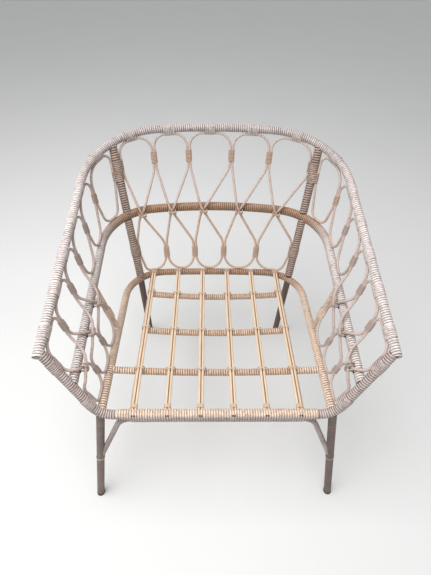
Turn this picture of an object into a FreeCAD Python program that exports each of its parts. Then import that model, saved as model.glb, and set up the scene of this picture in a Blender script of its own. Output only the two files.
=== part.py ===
import FreeCAD, Part
import math
import os
import Sketcher

# Tub armchair frame of welded steel tube, wrapped with flat resin strand and filled with bent canes.
# Millimetres, +Z up, the front faces -Y, the origin is on the ground under the middle of the frame.
# Every rail, leg and bar is a steel tube or rod inside a sleeve of wound strand. Canes bent to ovals and to
# figures of eight fill the back and the arms, and six pairs of canes make the seat.

V = FreeCAD.Vector
X_AXIS = V(1, 0, 0)
Z_AXIS = V(0, 0, 1)

SIZES = (
    # Three hoops, each flat in its own sloping plane: top rail, mid rail and seat ring
    ("top_back_y", 357.1, "top rail axis in the middle of the back"),
    ("top_back_z", 750.6, "its height"),
    ("top_bow", 1450.0, "radius of the shallow curve of its back"),
    ("top_corner", 209.0, "radius of its corners"),
    ("top_corner_x", 143.0, "centre of its corners from the middle"),
    ("mid_back_y", 276.0, "mid rail axis in the middle of the back"),
    ("mid_back_z", 540.9, "its height"),
    ("mid_bow", 1250.0, "radius of the shallow curve of its back"),
    ("mid_corner", 151.0, "radius of its corners"),
    ("mid_corner_x", 167.0, "centre of its corners from the middle"),
    ("mid_rise", 86.2, "ends of the mid rail above the front rail, on the arm posts"),
    ("ring_back_y", 197.7, "seat ring axis in the middle of the back"),
    ("ring_back_z", 345.2, "its height"),
    ("ring_bow", 3000.0, "radius of the shallow curve of its back"),
    ("ring_corner", 116.6, "radius of its corners"),
    ("ring_corner_x", 150.0, "centre of its corners from the middle"),
    # Front frame: arm post, front rail and arm post are one bent tube
    ("arm_tip_x", 370.5, "top of the arm post from the middle"),
    ("arm_tip_y", -291.5, "top of the arm post"),
    ("arm_tip_z", 556.0, "its height"),
    ("front_corner_x", 269.7, "where the lines of the front rail and the arm post meet"),
    ("front_y", -329.6, "front rail axis"),
    ("front_z", 374.0, "its height"),
    ("front_bend", 55.0, "bend between the front rail and the arm post"),
    ("arm_overhang", 10.0, "top rail past the axis of the arm post"),
    # Legs, posts, struts and bow
    ("front_foot_x", 321.9, "front foot from the middle"),
    ("front_foot_y", -357.1, "front foot"),
    ("back_foot_x", 241.9, "back foot from the middle"),
    ("back_foot_y", 251.0, "back foot"),
    ("post_top", 302.9, "back post on the top rail, measured round it from the middle of the back"),
    ("post_mid", 269.0, "back post on the mid rail"),
    ("post_ring", 241.9, "back post on the seat ring"),
    ("strut_top", 0.50, "side strut on the mid rail, as a share from the back post to the arm post"),
    ("strut_low", 0.47, "side strut on the seat ring, likewise"),
    ("bow_corner_x", 224.5, "where the lines of the bow's straight run and of its end meet"),
    ("bow_bend", 40.0, "bends of the bow"),
    ("bow_low_z", 190.0, "height where the bow meets the front legs"),
    ("lashing_half", 232.0, "half length of the second winding on the front rail"),
    ("belt_length", 396.0, "middle part of it, which goes round the rail and the bow"),
    ("post_break", 7.5, "a back post stops this far from the axes of the mid rail and the seat ring"),
    # Seat
    ("bar_front_y", -205.0, "front crossbar"),
    ("bar_middle_y", -62.5, "middle crossbar"),
    ("bar_back_y", 87.6, "back crossbar"),
    ("bar_sag", 12.0, "sag of a crossbar in its middle"),
    ("bar_short", 3.0, "middle and back crossbars end short of the axes of the stringers"),
    ("stringer_x", 197.0, "stringers from the middle"),
    ("stringer_dip", 1.2, "stringers below the axes of the rails that they meet"),
    ("slat_pitch", 76.4, "slat to slat"),
    ("slat_lift", 8.0, "front end of a slat above the axis of the front rail"),
    ("slat_short", 4.0, "back end of a slat short of the axis of the seat ring"),
    ("slat_bend", 400.0, "bends of a slat over the crossbars"),
    # Steel cores
    ("rail_core", 19.0, "tube of the top rail and the front frame"),
    ("ring_core", 18.0, "tube of the seat ring"),
    ("mid_core", 18.0, "width of the mid rail's oval tube"),
    ("mid_flat", 6.5, "flat sides that make the oval taller than it is wide"),
    ("leg_core", 17.0, "tube of the legs"),
    ("post_core", 19.0, "tube of the back posts"),
    ("bar_core", 15.0, "tube of the crossbars"),
    ("strut_core", 11.0, "tube of the side struts"),
    ("stringer_core", 9.4, "tube of the stringers"),
    ("bow_core", 10.4, "tube of the bow"),
    ("tube_wall", 1.5, "wall of every tube"),
    # Strand and cane
    ("fine_strand", 1.4, "thickness of the flat strand on rails, legs, bars and bow"),
    ("post_strand", 2.6, "thickness of the coarse strand on the back posts"),
    ("lash_strand", 1.6, "thickness of the second winding on the front rail"),
    ("fit", 0.1, "strand to tube, and plug to tube"),
    ("rest_gap", 0.3, "cane to what it lies on"),
    ("loop_cane", 7.0, "cane of the loops"),
    ("slat_cane", 6.0, "cane of the slats"),
    ("loop_bend", 60.0, "widest bend of a loop"),
    ("loop_butt", 0.4, "between the two ends of a loop's cane, hidden in its binding"),
    ("loop_belly", 0.62, "corners at the foot of a loop, as a share of its width"),
    ("cross_half", 17.5, "straight run of a strand to each side of its crossing, measured square to the rail"),
    ("tie_lead", 13.0, "run of a strand past its tie before it bends to its crossing"),
    ("tie_spare", 8.0, "straight run of a strand beyond the turns of its tie"),
    # Ties, bindings, nails, glides and plugs
    ("tie_strand", 3.2, "round strand of the ties between loops"),
    ("tie_pitch", 3.9, "turn to turn"),
    ("bind_strand", 1.7, "thickness of the strand over a cane that is bound to a rail or post"),
    ("bind_length", 24.0, "length of such a binding"),
    ("strap_strand", 2.4, "round strand of the crossed straps"),
    ("strap_bend", 3.0, "its bends"),
    ("strap_reach", 10.0, "foot of a strap from the middle of its crossing, along the rail or bar"),
    ("strap_skew", 3.5, "foot of a strap from the middle of its crossing, across the rail or bar"),
    ("strap_sink", 3.0, "strap past the face where it is cut flush"),
    ("strap_ahead", 9.5, "middle of the strap at the back end of a slat ahead of the axis of the seat ring"),
    ("nail_head", 3.6, "head of a nail"),
    ("nail_rise", 1.2, "height of its head"),
    ("staple_gap", 5.0, "between the two legs of a staple"),
    ("glide_rise", 6.0, "height of a foot glide"),
    ("glide_lip", 0.8, "glide past its leg all round"),
    ("dig", 12.0, "blank of a leg below the ground, cut off again"),
    ("ground_width", 1000.0, "square of ground that cuts the legs"),
    ("plug_depth", 15.0, "arm end plug inside its tube"),
    # Where neighbouring loops touch, as shares of the way from post to post, and where figures of eight cross
    ("back_upper_1", 0.193, "upper ties of the back, from the left post to the right"),
    ("back_upper_2", 0.365, "second"),
    ("back_upper_3", 0.578, "third"),
    ("back_upper_4", 0.766, "fourth"),
    ("back_cross_1", 0.080, "crossings of the back on the mid rail"),
    ("back_cross_2", 0.257, "second"),
    ("back_cross_3", 0.433, "third"),
    ("back_cross_4", 0.636, "fourth"),
    ("back_cross_5", 0.847, "fifth"),
    ("back_lower_1", 0.198, "lower ties of the back"),
    ("back_lower_2", 0.375, "second"),
    ("back_lower_3", 0.556, "third"),
    ("back_lower_4", 0.759, "fourth"),
    ("side_tie_1", 0.180, "ties of a side, from the back post to the arm post"),
    ("side_tie_2", 0.360, "second"),
    ("side_tie_3", 0.528, "third"),
    ("side_tie_4", 0.670, "fourth"),
    ("side_tie_5", 0.833, "fifth"),
    ("back_post_upper", 0.300, "bindings of the back loops on the posts, from the top rail to the mid rail"),
    ("back_post_lower", 0.550, "bindings of the back loops on the posts, from the mid rail to the seat ring"),
    ("back_upper_drop", 0.335, "upper ties of the back, as a share of the way from the top rail to the mid rail"),
    ("back_lower_drop", 0.670, "lower ties of the back, from the mid rail to the seat ring"),
    ("side_upper_drop", 0.430, "upper ties of a side"),
    ("side_lower_drop", 0.600, "lower ties of a side"),
)
CORES = (("rail", "fine"), ("ring", "fine"), ("mid", "fine"), ("leg", "fine"), ("post", "post"),
         ("bar", "fine"), ("strut", "fine"), ("stringer", "fine"), ("bow", "fine"))
FORMULAS = [("post_length", "sqrt((arm_tip_x - front_corner_x)^2 + (arm_tip_y - front_y)^2 "
             "+ (arm_tip_z - front_z)^2)"),
            ("lean_x", "(arm_tip_x - front_corner_x) / post_length"),
            ("lean_y", "(arm_tip_y - front_y) / post_length"),
            ("lean_z", "(arm_tip_z - front_z) / post_length"),
            ("frame_reach", "post_length * sqrt(1 - lean_x^2)"),
            ("bend_shift", "front_bend * (1 / sqrt((1 + lean_x) / 2) - 1) / sqrt(2 - 2 * lean_x)"),
            ("top_tip_reach", "sqrt((top_back_y - arm_tip_y)^2 + (top_back_z - arm_tip_z)^2)"),
            ("top_across", "arm_tip_x - top_corner_x"),
            ("top_forward", "top_tip_reach - top_bow + sqrt((top_bow - top_corner)^2 - top_corner_x^2)"),
            ("top_tangent", "sqrt(top_across^2 + top_forward^2 - top_corner^2)"),
            ("top_ahead", "(top_corner * top_across + top_tangent * top_forward) "
             "/ (top_across^2 + top_forward^2)"),
            ("top_aside", "(top_tangent * top_across - top_corner * top_forward) "
             "/ (top_across^2 + top_forward^2)"),
            ("top_end_x", "arm_tip_x + arm_overhang * top_aside"),
            ("top_reach", "top_tip_reach + arm_overhang * top_ahead"),
            ("mid_share", "mid_rise / (arm_tip_z - front_z)"),
            ("mid_end_x", "front_corner_x + mid_share * (arm_tip_x - front_corner_x)"),
            ("mid_end_y", "front_y + mid_share * (arm_tip_y - front_y)"),
            ("mid_end_z", "front_z + mid_rise"),
            ("mid_reach", "sqrt((mid_back_y - mid_end_y)^2 + (mid_back_z - mid_end_z)^2)"),
            ("ring_end_x", "front_corner_x + bend_shift * (lean_x - 1)"),
            ("ring_end_y", "front_y + bend_shift * lean_y"),
            ("ring_end_z", "front_z + bend_shift * lean_z"),
            ("ring_reach", "sqrt((ring_back_y - ring_end_y)^2 + (ring_back_z - ring_end_z)^2)"),
            ("bow_share", "(ring_end_z - bow_low_z) / ring_end_z"),
            ("bow_end_x", "ring_end_x + bow_share * (front_foot_x - ring_end_x)"),
            ("bow_end_y", "ring_end_y + bow_share * (front_foot_y - ring_end_y)")]
for core, strand in CORES:
    FORMULAS.append((core + "_bore", "%s_core - 2 * tube_wall" % core))
    FORMULAS.append((core + "_sleeve", "%s_core + 2 * fit" % core))
    FORMULAS.append((core + "_outside", "%s_sleeve + 2 * %s_strand" % (core, strand)))
FORMULAS += [("front_outside", "rail_outside + 2 * lash_strand"),
             ("bow_drop", "(rail_outside + bow_outside) / 2 + rest_gap"),
             ("bow_cover", "bow_outside + 2 * lash_strand"),
             ("bow_reach", "sqrt((bow_end_y - front_y)^2 + (front_z - bow_drop - bow_low_z)^2)"),
             ("plug_width", "rail_bore - 2 * fit"),
             ("glide_width", "leg_outside + 2 * glide_lip")]
BACK_TURNS, UPPER_TURNS, LOWER_TURNS = 9, 7, 5
SLATS = 6
SIDES = (("left", -1), ("right", 1))

doc = FreeCAD.newDocument("tub_armchair_frame")
sheet = doc.addObject("Spreadsheet::Sheet", "sizes")
cells = [(alias, str(number), note) for alias, number, note in SIZES]
cells += [(alias, "=" + formula, "worked out from the sizes above") for alias, formula in FORMULAS]
for row, (alias, content, note) in enumerate(cells, start=1):
    sheet.set("A%d" % row, alias)
    sheet.set("B%d" % row, content)
    sheet.set("C%d" % row, note)
    sheet.setAlias("B%d" % row, alias)
doc.recompute()


def size(alias):
    return float(sheet.get(alias))


def point(name):
    return V(size(name + "_x"), size(name + "_y"), size(name + "_z"))


def unit(vector):
    return vector * (1.0 / vector.Length)


def blend(start, end, share):
    return start + (end - start) * share


def mirrored(vector, hand):
    return V(vector.x * hand, vector.y, vector.z)


# Sketches and bodies
def attached_sketch(body, name, role):
    sketch = body.newObject("Sketcher::SketchObject", name)
    planes = [feature for feature in body.Origin.OriginFeatures if feature.Role == role]
    sketch.AttachmentSupport = [(planes[0], "")]
    sketch.MapMode = "FlatFace"
    return sketch


def hold(sketch, name, alias, kind, *where):
    """A named dimension of the sketch, bound to a size of the sheet."""
    number = sketch.addConstraint(Sketcher.Constraint(kind, *where, size(alias)))
    sketch.renameConstraint(number, name)
    sketch.setExpression("Constraints." + name, "sizes." + alias)


def circle_section(sketch, name, width):
    circle = sketch.addGeometry(Part.Circle(V(0, 0, 0), Z_AXIS, size(width) / 2))
    sketch.addConstraint(Sketcher.Constraint("Coincident", circle, 3, -1, 1))
    hold(sketch, name, width, "Diameter", circle)


def oval_section(sketch, name, width):
    """Two half circles joined by the flats of the mid rail's oval, taller than it is wide."""
    radius, rise = size(width) / 2, size("mid_flat") / 2
    upper = Part.ArcOfCircle(Part.Circle(V(0, rise, 0), Z_AXIS, radius), 0, math.pi)
    lower = Part.ArcOfCircle(Part.Circle(V(0, -rise, 0), Z_AXIS, radius), math.pi, 2 * math.pi)
    left = Part.LineSegment(V(-radius, rise, 0), V(-radius, -rise, 0))
    right = Part.LineSegment(V(radius, -rise, 0), V(radius, rise, 0))
    first = sketch.addGeometry([upper, left, lower, right])[0]
    for step in range(4):
        last, follower = first + step, first + (step + 1) % 4
        sketch.addConstraint(Sketcher.Constraint("Tangent", last, 2, follower, 1))
    sketch.addConstraint(Sketcher.Constraint("Equal", first, first + 2))
    sketch.addConstraint(Sketcher.Constraint("PointOnObject", first, 3, -2))
    sketch.addConstraint(Sketcher.Constraint("Symmetric", first, 3, first + 2, 3, -1, 1))
    hold(sketch, name, width, "Diameter", first)
    hold(sketch, name + "_flat", "mid_flat", "DistanceY", first + 2, 3, first, 3)


def draw_section(sketch, section, outside, inside):
    section(sketch, "outside", outside)
    if inside:
        section(sketch, "inside", inside)


def straight_body(label, start, end, outside, inside=None):
    """A straight round tube, rod or sleeve from start to end."""
    body = doc.addObject("PartDesign::Body", label)
    section = attached_sketch(body, label + "_section", "XY_Plane")
    draw_section(section, circle_section, outside, inside)
    pad = body.newObject("PartDesign::Pad", label + "_pad")
    pad.Profile = section
    pad.Length = (end - start).Length
    body.Placement = FreeCAD.Placement(start, FreeCAD.Rotation(Z_AXIS, end - start))
    return body


def bent_body(label, route, section, outside, inside=None):
    """A bent tube or sleeve: half of it swept along its route, from the middle outwards, and its mirror image."""
    body = doc.addObject("PartDesign::Body", label)
    path = attached_sketch(body, label + "_path", "XY_Plane")
    route.draw(path)
    profile = attached_sketch(body, label + "_section", "YZ_Plane")
    draw_section(profile, section, outside, inside)
    doc.recompute()
    half = body.newObject("PartDesign::AdditivePipe", label + "_half")
    half.Profile = profile
    half.Spine = (path, [])
    doc.recompute()
    whole = body.newObject("PartDesign::Mirrored", label + "_whole")
    whole.Originals = [half]
    planes = [feature for feature in body.Origin.OriginFeatures if feature.Role == "YZ_Plane"]
    whole.MirrorPlane = (planes[0], [""])
    body.Tip = whole
    body.Placement = route.placement
    doc.recompute()
    return body


class Route:
    """A flat route whose right half is drawn from its middle. x runs to the right, y along the route's plane."""

    def __init__(self, middle, towards_y):
        self.middle = middle
        self.y_axis = unit(towards_y)
        self.normal = X_AXIS.cross(self.y_axis)
        self.placement = FreeCAD.Placement(middle, FreeCAD.Rotation(X_AXIS, self.y_axis, self.normal, "XYZ"))

    def place(self, x, y):
        return self.middle + X_AXIS * x + self.y_axis * y


class Hoop(Route):
    """A rail round the back: shallow back curve, corner and straight side on each hand."""

    def __init__(self, name, family, aim):
        self.name, self.family = name, family
        back = V(0, size(name + "_back_y"), size(name + "_back_z"))
        Route.__init__(self, back, V(0, back.y - aim.y, back.z - aim.z))
        self.end_x = size(name + "_end_x")
        self.bow, self.corner, self.corner_x = (size(name + tail) for tail in ("_bow", "_corner", "_corner_x"))
        self.corner_y = math.sqrt((self.bow - self.corner) ** 2 - self.corner_x ** 2) - self.bow
        self.turn_in = math.asin(self.corner_x / (self.bow - self.corner))
        reach = size(name + "_reach")
        across, forward = self.end_x - self.corner_x, -reach - self.corner_y
        leave = math.atan2(forward, across) + math.acos(self.corner / math.hypot(across, forward))
        self.turn_out = math.pi / 2 - leave
        self.leave_x = self.corner_x + self.corner * math.cos(leave)
        self.leave_y = self.corner_y + self.corner * math.sin(leave)
        self.back_run = self.bow * self.turn_in
        self.side_start = self.back_run + self.corner * (self.turn_out - self.turn_in)
        self.length = self.side_start + math.hypot(self.end_x - self.leave_x, reach + self.leave_y)

    def draw(self, sketch):
        quarter = math.pi / 2
        back_circle = Part.Circle(V(0, -self.bow, 0), Z_AXIS, self.bow)
        corner_circle = Part.Circle(V(self.corner_x, self.corner_y, 0), Z_AXIS, self.corner)
        back = sketch.addGeometry(Part.ArcOfCircle(back_circle, quarter - self.turn_in, quarter))
        corner = sketch.addGeometry(Part.ArcOfCircle(corner_circle, quarter - self.turn_out, quarter - self.turn_in))
        leave, end = V(self.leave_x, self.leave_y, 0), V(self.end_x, -size(self.name + "_reach"), 0)
        side = sketch.addGeometry(Part.LineSegment(leave, end))
        sketch.addConstraint(Sketcher.Constraint("PointOnObject", back, 3, -2))
        sketch.addConstraint(Sketcher.Constraint("Coincident", back, 2, -1, 1))
        sketch.addConstraint(Sketcher.Constraint("Tangent", back, 1, corner, 2))
        sketch.addConstraint(Sketcher.Constraint("Tangent", corner, 1, side, 1))
        hold(sketch, "bow", self.name + "_bow", "Radius", back)
        hold(sketch, "corner", self.name + "_corner", "Radius", corner)
        hold(sketch, "corner_x", self.name + "_corner_x", "DistanceX", -1, 1, corner, 3)
        hold(sketch, "end_x", self.name + "_end_x", "DistanceX", -1, 1, side, 2)
        hold(sketch, "reach", self.name + "_reach", "DistanceY", side, 2, -1, 1)

    def at(self, station):
        """Point and outward direction at a distance round the hoop from the middle of its back."""
        way, hand = abs(station), math.copysign(1, station)
        if way <= self.back_run:
            turn = way / self.bow
            x, y = self.bow * math.sin(turn), self.bow * (math.cos(turn) - 1)
        elif way <= self.side_start:
            turn = self.turn_in + (way - self.back_run) / self.corner
            x, y = self.corner_x + self.corner * math.sin(turn), self.corner_y + self.corner * math.cos(turn)
        else:
            turn, run = self.turn_out, way - self.side_start
            x, y = self.leave_x + run * math.cos(turn), self.leave_y - run * math.sin(turn)
        outward = X_AXIS * (hand * math.sin(turn)) + self.y_axis * math.cos(turn)
        return self.place(hand * x, y), outward

    def first(self, beyond):
        """The first point round the right hand for which a test holds, by halving."""
        near, far = 0.0, self.length
        for _ in range(50):
            half = (near + far) / 2
            if beyond(self.at(half)[0]):
                far = half
            else:
                near = half
        return self.at(far)[0]


class Bracket(Route):
    """A straight middle with a bend at each end: the front frame and the bow."""

    def __init__(self, middle, corner_alias, bend_alias, end_x_alias, reach_alias, towards_y):
        Route.__init__(self, middle, towards_y)
        self.aliases = (corner_alias, bend_alias, end_x_alias, reach_alias)

    def draw(self, sketch):
        corner_alias, bend_alias, end_x_alias, reach_alias = self.aliases
        corner, bend, end_x, reach = (size(alias) for alias in self.aliases)
        turn = math.atan2(reach, end_x - corner)
        cut = bend * math.tan(turn / 2)
        start, end = V(corner - cut, 0, 0), V(end_x, reach, 0)
        leave = V(corner + cut * math.cos(turn), cut * math.sin(turn), 0)
        circle = Part.Circle(V(corner - cut, bend, 0), Z_AXIS, bend)
        run = sketch.addGeometry(Part.LineSegment(V(0, 0, 0), start))
        arc = sketch.addGeometry(Part.ArcOfCircle(circle, -math.pi / 2, turn - math.pi / 2))
        rise = sketch.addGeometry(Part.LineSegment(leave, end))
        mark = sketch.addGeometry(Part.Point(V(corner, 0, 0)), True)
        sketch.addConstraint(Sketcher.Constraint("Coincident", run, 1, -1, 1))
        sketch.addConstraint(Sketcher.Constraint("Horizontal", run))
        sketch.addConstraint(Sketcher.Constraint("Tangent", run, 2, arc, 1))
        sketch.addConstraint(Sketcher.Constraint("Tangent", arc, 2, rise, 1))
        sketch.addConstraint(Sketcher.Constraint("PointOnObject", mark, 1, -1))
        sketch.addConstraint(Sketcher.Constraint("PointOnObject", mark, 1, rise))
        hold(sketch, "corner", corner_alias, "DistanceX", -1, 1, mark, 1)
        hold(sketch, "bend", bend_alias, "Radius", arc)
        hold(sketch, "end_x", end_x_alias, "DistanceX", -1, 1, rise, 2)
        hold(sketch, "reach", reach_alias, "DistanceY", -1, 1, rise, 2)


class Bar(Route):
    """A crossbar that sags in its middle: one shallow arc."""

    def __init__(self, name, end, sag):
        Route.__init__(self, V(0, end.y, end.z - sag), Z_AXIS)
        self.name, self.end_x, self.sag = name, end.x, sag
        self.radius = (end.x ** 2 + sag ** 2) / (2 * sag)

    def draw(self, sketch):
        circle = Part.Circle(V(0, self.radius, 0), Z_AXIS, self.radius)
        turn = math.asin(self.end_x / self.radius)
        arc = sketch.addGeometry(Part.ArcOfCircle(circle, -math.pi / 2, turn - math.pi / 2))
        sketch.addConstraint(Sketcher.Constraint("PointOnObject", arc, 3, -2))
        sketch.addConstraint(Sketcher.Constraint("Coincident", arc, 1, -1, 1))
        hold(sketch, "sag", "bar_sag", "DistanceY", -1, 1, arc, 2)
        number = sketch.addConstraint(Sketcher.Constraint("DistanceX", -1, 1, arc, 2, self.end_x))
        sketch.renameConstraint(number, "end_x")

    def height(self, x):
        return self.middle.z + self.radius - math.sqrt(self.radius ** 2 - x ** 2)


def trimmed(label, blank, tools):
    """What is left of a blank where the finished members that it meets are cut away."""
    for number, tool in enumerate(tools, start=1):
        name = label if number == len(tools) else "%s_cut_%d" % (label, number)
        cut = doc.addObject("Part::Cut", name)
        cut.Base = blank
        cut.Tool = tool
        blank = cut
    return blank


def grouped(label, members):
    group = doc.addObject("Part::Compound", label)
    group.Links = members
    return group


def space(label, start, end, width):
    """A finished round member, solid right through, which only cuts what meets it."""
    rod = doc.addObject("Part::Cylinder", label)
    rod.Height = (end - start).Length
    rod.setExpression("Radius", "sizes.%s / 2" % width)
    rod.Placement = FreeCAD.Placement(start, FreeCAD.Rotation(Z_AXIS, end - start))
    return rod


def slab(label, foot):
    """A wide flat box from a level up to the top of the foot glides."""
    box = doc.addObject("Part::Box", label)
    wide = size("ground_width")
    box.Length, box.Width, box.Height = wide, wide, size("glide_rise") - foot
    box.Placement.Base = V(-wide / 2, -wide / 2, foot)
    return box


def solid(label, shape):
    feature = doc.addObject("Part::Feature", label)
    feature.Shape = shape
    return feature


nodes = []


def keep(item):
    nodes.append(item)
    return item


# Routes of the rails
arm_tip, front_corner = point("arm_tip"), V(size("front_corner_x"), size("front_y"), size("front_z"))
ring_end, bow_end = point("ring_end"), V(size("bow_end_x"), size("bow_end_y"), size("bow_low_z"))
top_rail = Hoop("top", "rail", arm_tip)
mid_rail = Hoop("mid", "mid", point("mid_end"))
seat_ring = Hoop("ring", "ring", ring_end)
front_middle = V(0, size("front_y"), size("front_z"))
arm_rise = V(0, size("lean_y"), size("lean_z"))
front_frame = Bracket(front_middle, "front_corner_x", "front_bend", "arm_tip_x", "frame_reach", arm_rise)
bow_middle = V(0, front_middle.y, front_middle.z - size("bow_drop"))
bow_route = Bracket(bow_middle, "bow_corner_x", "bow_bend", "bow_end_x", "bow_reach",
                    V(0, bow_end.y - bow_middle.y, bow_end.z - bow_middle.z))

# Finished rails, solid right through, which cut what meets them
top_space = bent_body("top_rail_space", top_rail, circle_section, "rail_outside")
mid_space = bent_body("mid_rail_space", mid_rail, oval_section, "mid_outside")
ring_space = bent_body("seat_ring_space", seat_ring, circle_section, "ring_outside")
front_space = bent_body("front_frame_space", front_frame, circle_section, "rail_outside")

# Top rail: its two open ends are closed by plugs
keep(bent_body("top_rail_tube", top_rail, circle_section, "rail_core", "rail_bore"))
keep(bent_body("top_rail_wrap", top_rail, circle_section, "rail_outside", "rail_sleeve"))
plugs = []
for side, hand in SIDES:
    tip = mirrored(top_rail.place(top_rail.end_x, -size("top_reach")), hand)
    ahead = unit(tip - mirrored(top_rail.at(top_rail.side_start)[0], hand))
    plugs.append(straight_body("arm_plug_" + side, tip - ahead * size("plug_depth"), tip, "plug_width"))
keep(grouped("arm_plugs", plugs))

# Mid rail and seat ring: their ends are cut round the front frame
for label, route, section, family in (("mid_rail", mid_rail, oval_section, "mid"),
                                      ("seat_ring", seat_ring, circle_section, "ring")):
    for piece, outside, inside in (("tube", "_core", "_bore"), ("wrap", "_outside", "_sleeve")):
        name = label + "_" + piece
        blank = bent_body(name + "_blank", route, section, family + outside, family + inside)
        keep(trimmed(name, blank, [front_space]))

# Front frame: the arm posts are cut round the top rail
for piece, outside, inside in (("tube", "rail_core", "rail_bore"), ("wrap", "rail_outside", "rail_sleeve")):
    name = "front_frame_" + piece
    blank = bent_body(name + "_blank", front_frame, circle_section, outside, inside)
    keep(trimmed(name, blank, [top_space]))

# Legs: cut round the rails at the top and at the glides below
ground = slab("ground_space", -2 * size("dig"))
legs = []
for side, hand in SIDES:
    for end, head, foot in (("front", ring_end, V(size("front_foot_x"), size("front_foot_y"), 0)),
                            ("back", seat_ring.at(size("post_ring"))[0],
                             V(size("back_foot_x"), size("back_foot_y"), 0))):
        head, foot = mirrored(head, hand), mirrored(foot, hand)
        legs.append(("%s_leg_%s" % (end, side), head, foot, unit(foot - head) * size("dig")))
tubes = [straight_body(name + "_tube", head, foot + dig, "leg_core", "leg_bore") for name, head, foot, dig in legs]
keep(trimmed("leg_tubes", grouped("leg_tube_blanks", tubes), [ground, front_space, ring_space]))
for name, head, foot, dig in legs:
    blank = straight_body(name + "_wrap_blank", head, foot + dig, "leg_outside", "leg_sleeve")
    rails = [front_space, ring_space] if name.startswith("front") else [ring_space]
    keep(trimmed(name + "_wrap", blank, [ground] + rails))
rods = [space(name + "_glide", foot - dig * 2, foot + dig, "glide_width") for name, head, foot, dig in legs]
glides = doc.addObject("Part::Common", "foot_glides")
glides.Base = grouped("glide_blanks", rods)
glides.Tool = slab("glide_slab", 0.0)
keep(glides)
leg_spaces = [space(name + "_space", head, foot, "leg_outside") for name, head, foot, dig in legs]

# Back posts: each runs from the seat ring to the mid rail and on to the top rail
posts = {}
for side, hand in SIDES:
    low, middle, high = (mirrored(rail.at(size(station))[0], hand) for rail, station in
                         ((seat_ring, "post_ring"), (mid_rail, "post_mid"), (top_rail, "post_top")))
    up, down = unit(high - middle) * size("post_break"), unit(low - middle) * size("post_break")
    posts[side] = (("upper", middle + up, high), ("lower", middle + down, low - down))
runs = [(side, part, start, end) for side in posts for part, start, end in posts[side]]
tubes = [straight_body("back_post_%s_%s_tube" % (side, part), start, end, "post_core", "post_bore")
         for side, part, start, end in runs]
keep(trimmed("back_post_tubes", grouped("back_post_tube_blanks", tubes), [top_space, mid_space, ring_space]))
for side, hand in SIDES:
    wraps = [straight_body("back_post_%s_%s_wrap" % (side, part), start, end, "post_outside", "post_sleeve")
             for part, start, end in posts[side]]
    keep(trimmed("back_post_%s_wrap" % side, grouped("back_post_%s_wrap_blanks" % side, wraps),
                 [top_space, mid_space, ring_space]))
post_spaces = [space("back_post_%s_%s_space" % (side, part), start, end, "post_outside")
               for side, part, start, end in runs]


# Side struts
def side_station(rail, start, end, share):
    return rail.at(start + (end - start) * share)[0]


mid_from, mid_to = size("post_mid"), mid_rail.length
ring_from, ring_to = size("post_ring"), seat_ring.length
strut_head = side_station(mid_rail, mid_from, mid_to, size("strut_top"))
strut_foot = side_station(seat_ring, ring_from, ring_to, size("strut_low"))
rods = [straight_body("side_strut_%s_rod" % side, mirrored(strut_head, hand), mirrored(strut_foot, hand),
                      "strut_core", "strut_bore") for side, hand in SIDES]
keep(trimmed("side_strut_rods", grouped("side_strut_rod_blanks", rods), [mid_space, ring_space]))
strut_spaces = []
for side, hand in SIDES:
    head, foot = mirrored(strut_head, hand), mirrored(strut_foot, hand)
    blank = straight_body("side_strut_%s_wrap_blank" % side, head, foot, "strut_outside", "strut_sleeve")
    keep(trimmed("side_strut_%s_wrap" % side, blank, [mid_space, ring_space]))
    strut_spaces.append(space("side_strut_%s_space" % side, head, foot, "strut_outside"))

# Front lashing: a sleeve on the front rail whose middle part also goes round the bow
bow_space = bent_body("bow_space", bow_route, circle_section, "bow_outside")
half_lashing = X_AXIS * size("lashing_half")
sleeve = straight_body("lashing_sleeve", front_middle - half_lashing, front_middle + half_lashing, "front_outside")
belt = doc.addObject("PartDesign::Body", "lashing_belt")
outline = attached_sketch(belt, "lashing_belt_outline", "YZ_Plane")
rail_radius, bow_radius, drop = size("front_outside") / 2, size("bow_cover") / 2, size("bow_drop")
slope = math.asin((rail_radius - bow_radius) / drop)
rail_circle, bow_circle = Part.Circle(V(0, 0, 0), Z_AXIS, rail_radius), Part.Circle(V(0, -drop, 0), Z_AXIS, bow_radius)
rail_arc = outline.addGeometry(Part.ArcOfCircle(rail_circle, -slope, math.pi + slope))
bow_arc = outline.addGeometry(Part.ArcOfCircle(bow_circle, math.pi + slope, 2 * math.pi - slope))
lean = V(math.cos(slope), -math.sin(slope), 0)
down_axis = V(0, -drop, 0)
back_line = outline.addGeometry(Part.LineSegment(mirrored(lean, -1) * rail_radius,
                                                 down_axis + mirrored(lean, -1) * bow_radius))
front_line = outline.addGeometry(Part.LineSegment(down_axis + lean * bow_radius, lean * rail_radius))
for first, first_end, second, second_end in ((rail_arc, 2, back_line, 1), (back_line, 2, bow_arc, 1),
                                             (bow_arc, 2, front_line, 1), (front_line, 2, rail_arc, 1)):
    outline.addConstraint(Sketcher.Constraint("Tangent", first, first_end, second, second_end))
outline.addConstraint(Sketcher.Constraint("Coincident", rail_arc, 3, -1, 1))
outline.addConstraint(Sketcher.Constraint("PointOnObject", bow_arc, 3, -2))
hold(outline, "rail", "front_outside", "Diameter", rail_arc)
hold(outline, "bow", "bow_cover", "Diameter", bow_arc)
hold(outline, "drop", "bow_drop", "DistanceY", bow_arc, 3, -1, 1)
pad = belt.newObject("PartDesign::Pad", "lashing_belt_pad")
pad.Profile = outline
pad.Midplane = True
pad.setExpression("Length", "sizes.belt_length")
belt.Placement.Base = front_middle
lashing = doc.addObject("Part::Fuse", "front_lashing_blank")
lashing.Base = sleeve
lashing.Tool = belt
keep(trimmed("front_lashing", lashing, [front_space, bow_space]))

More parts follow.
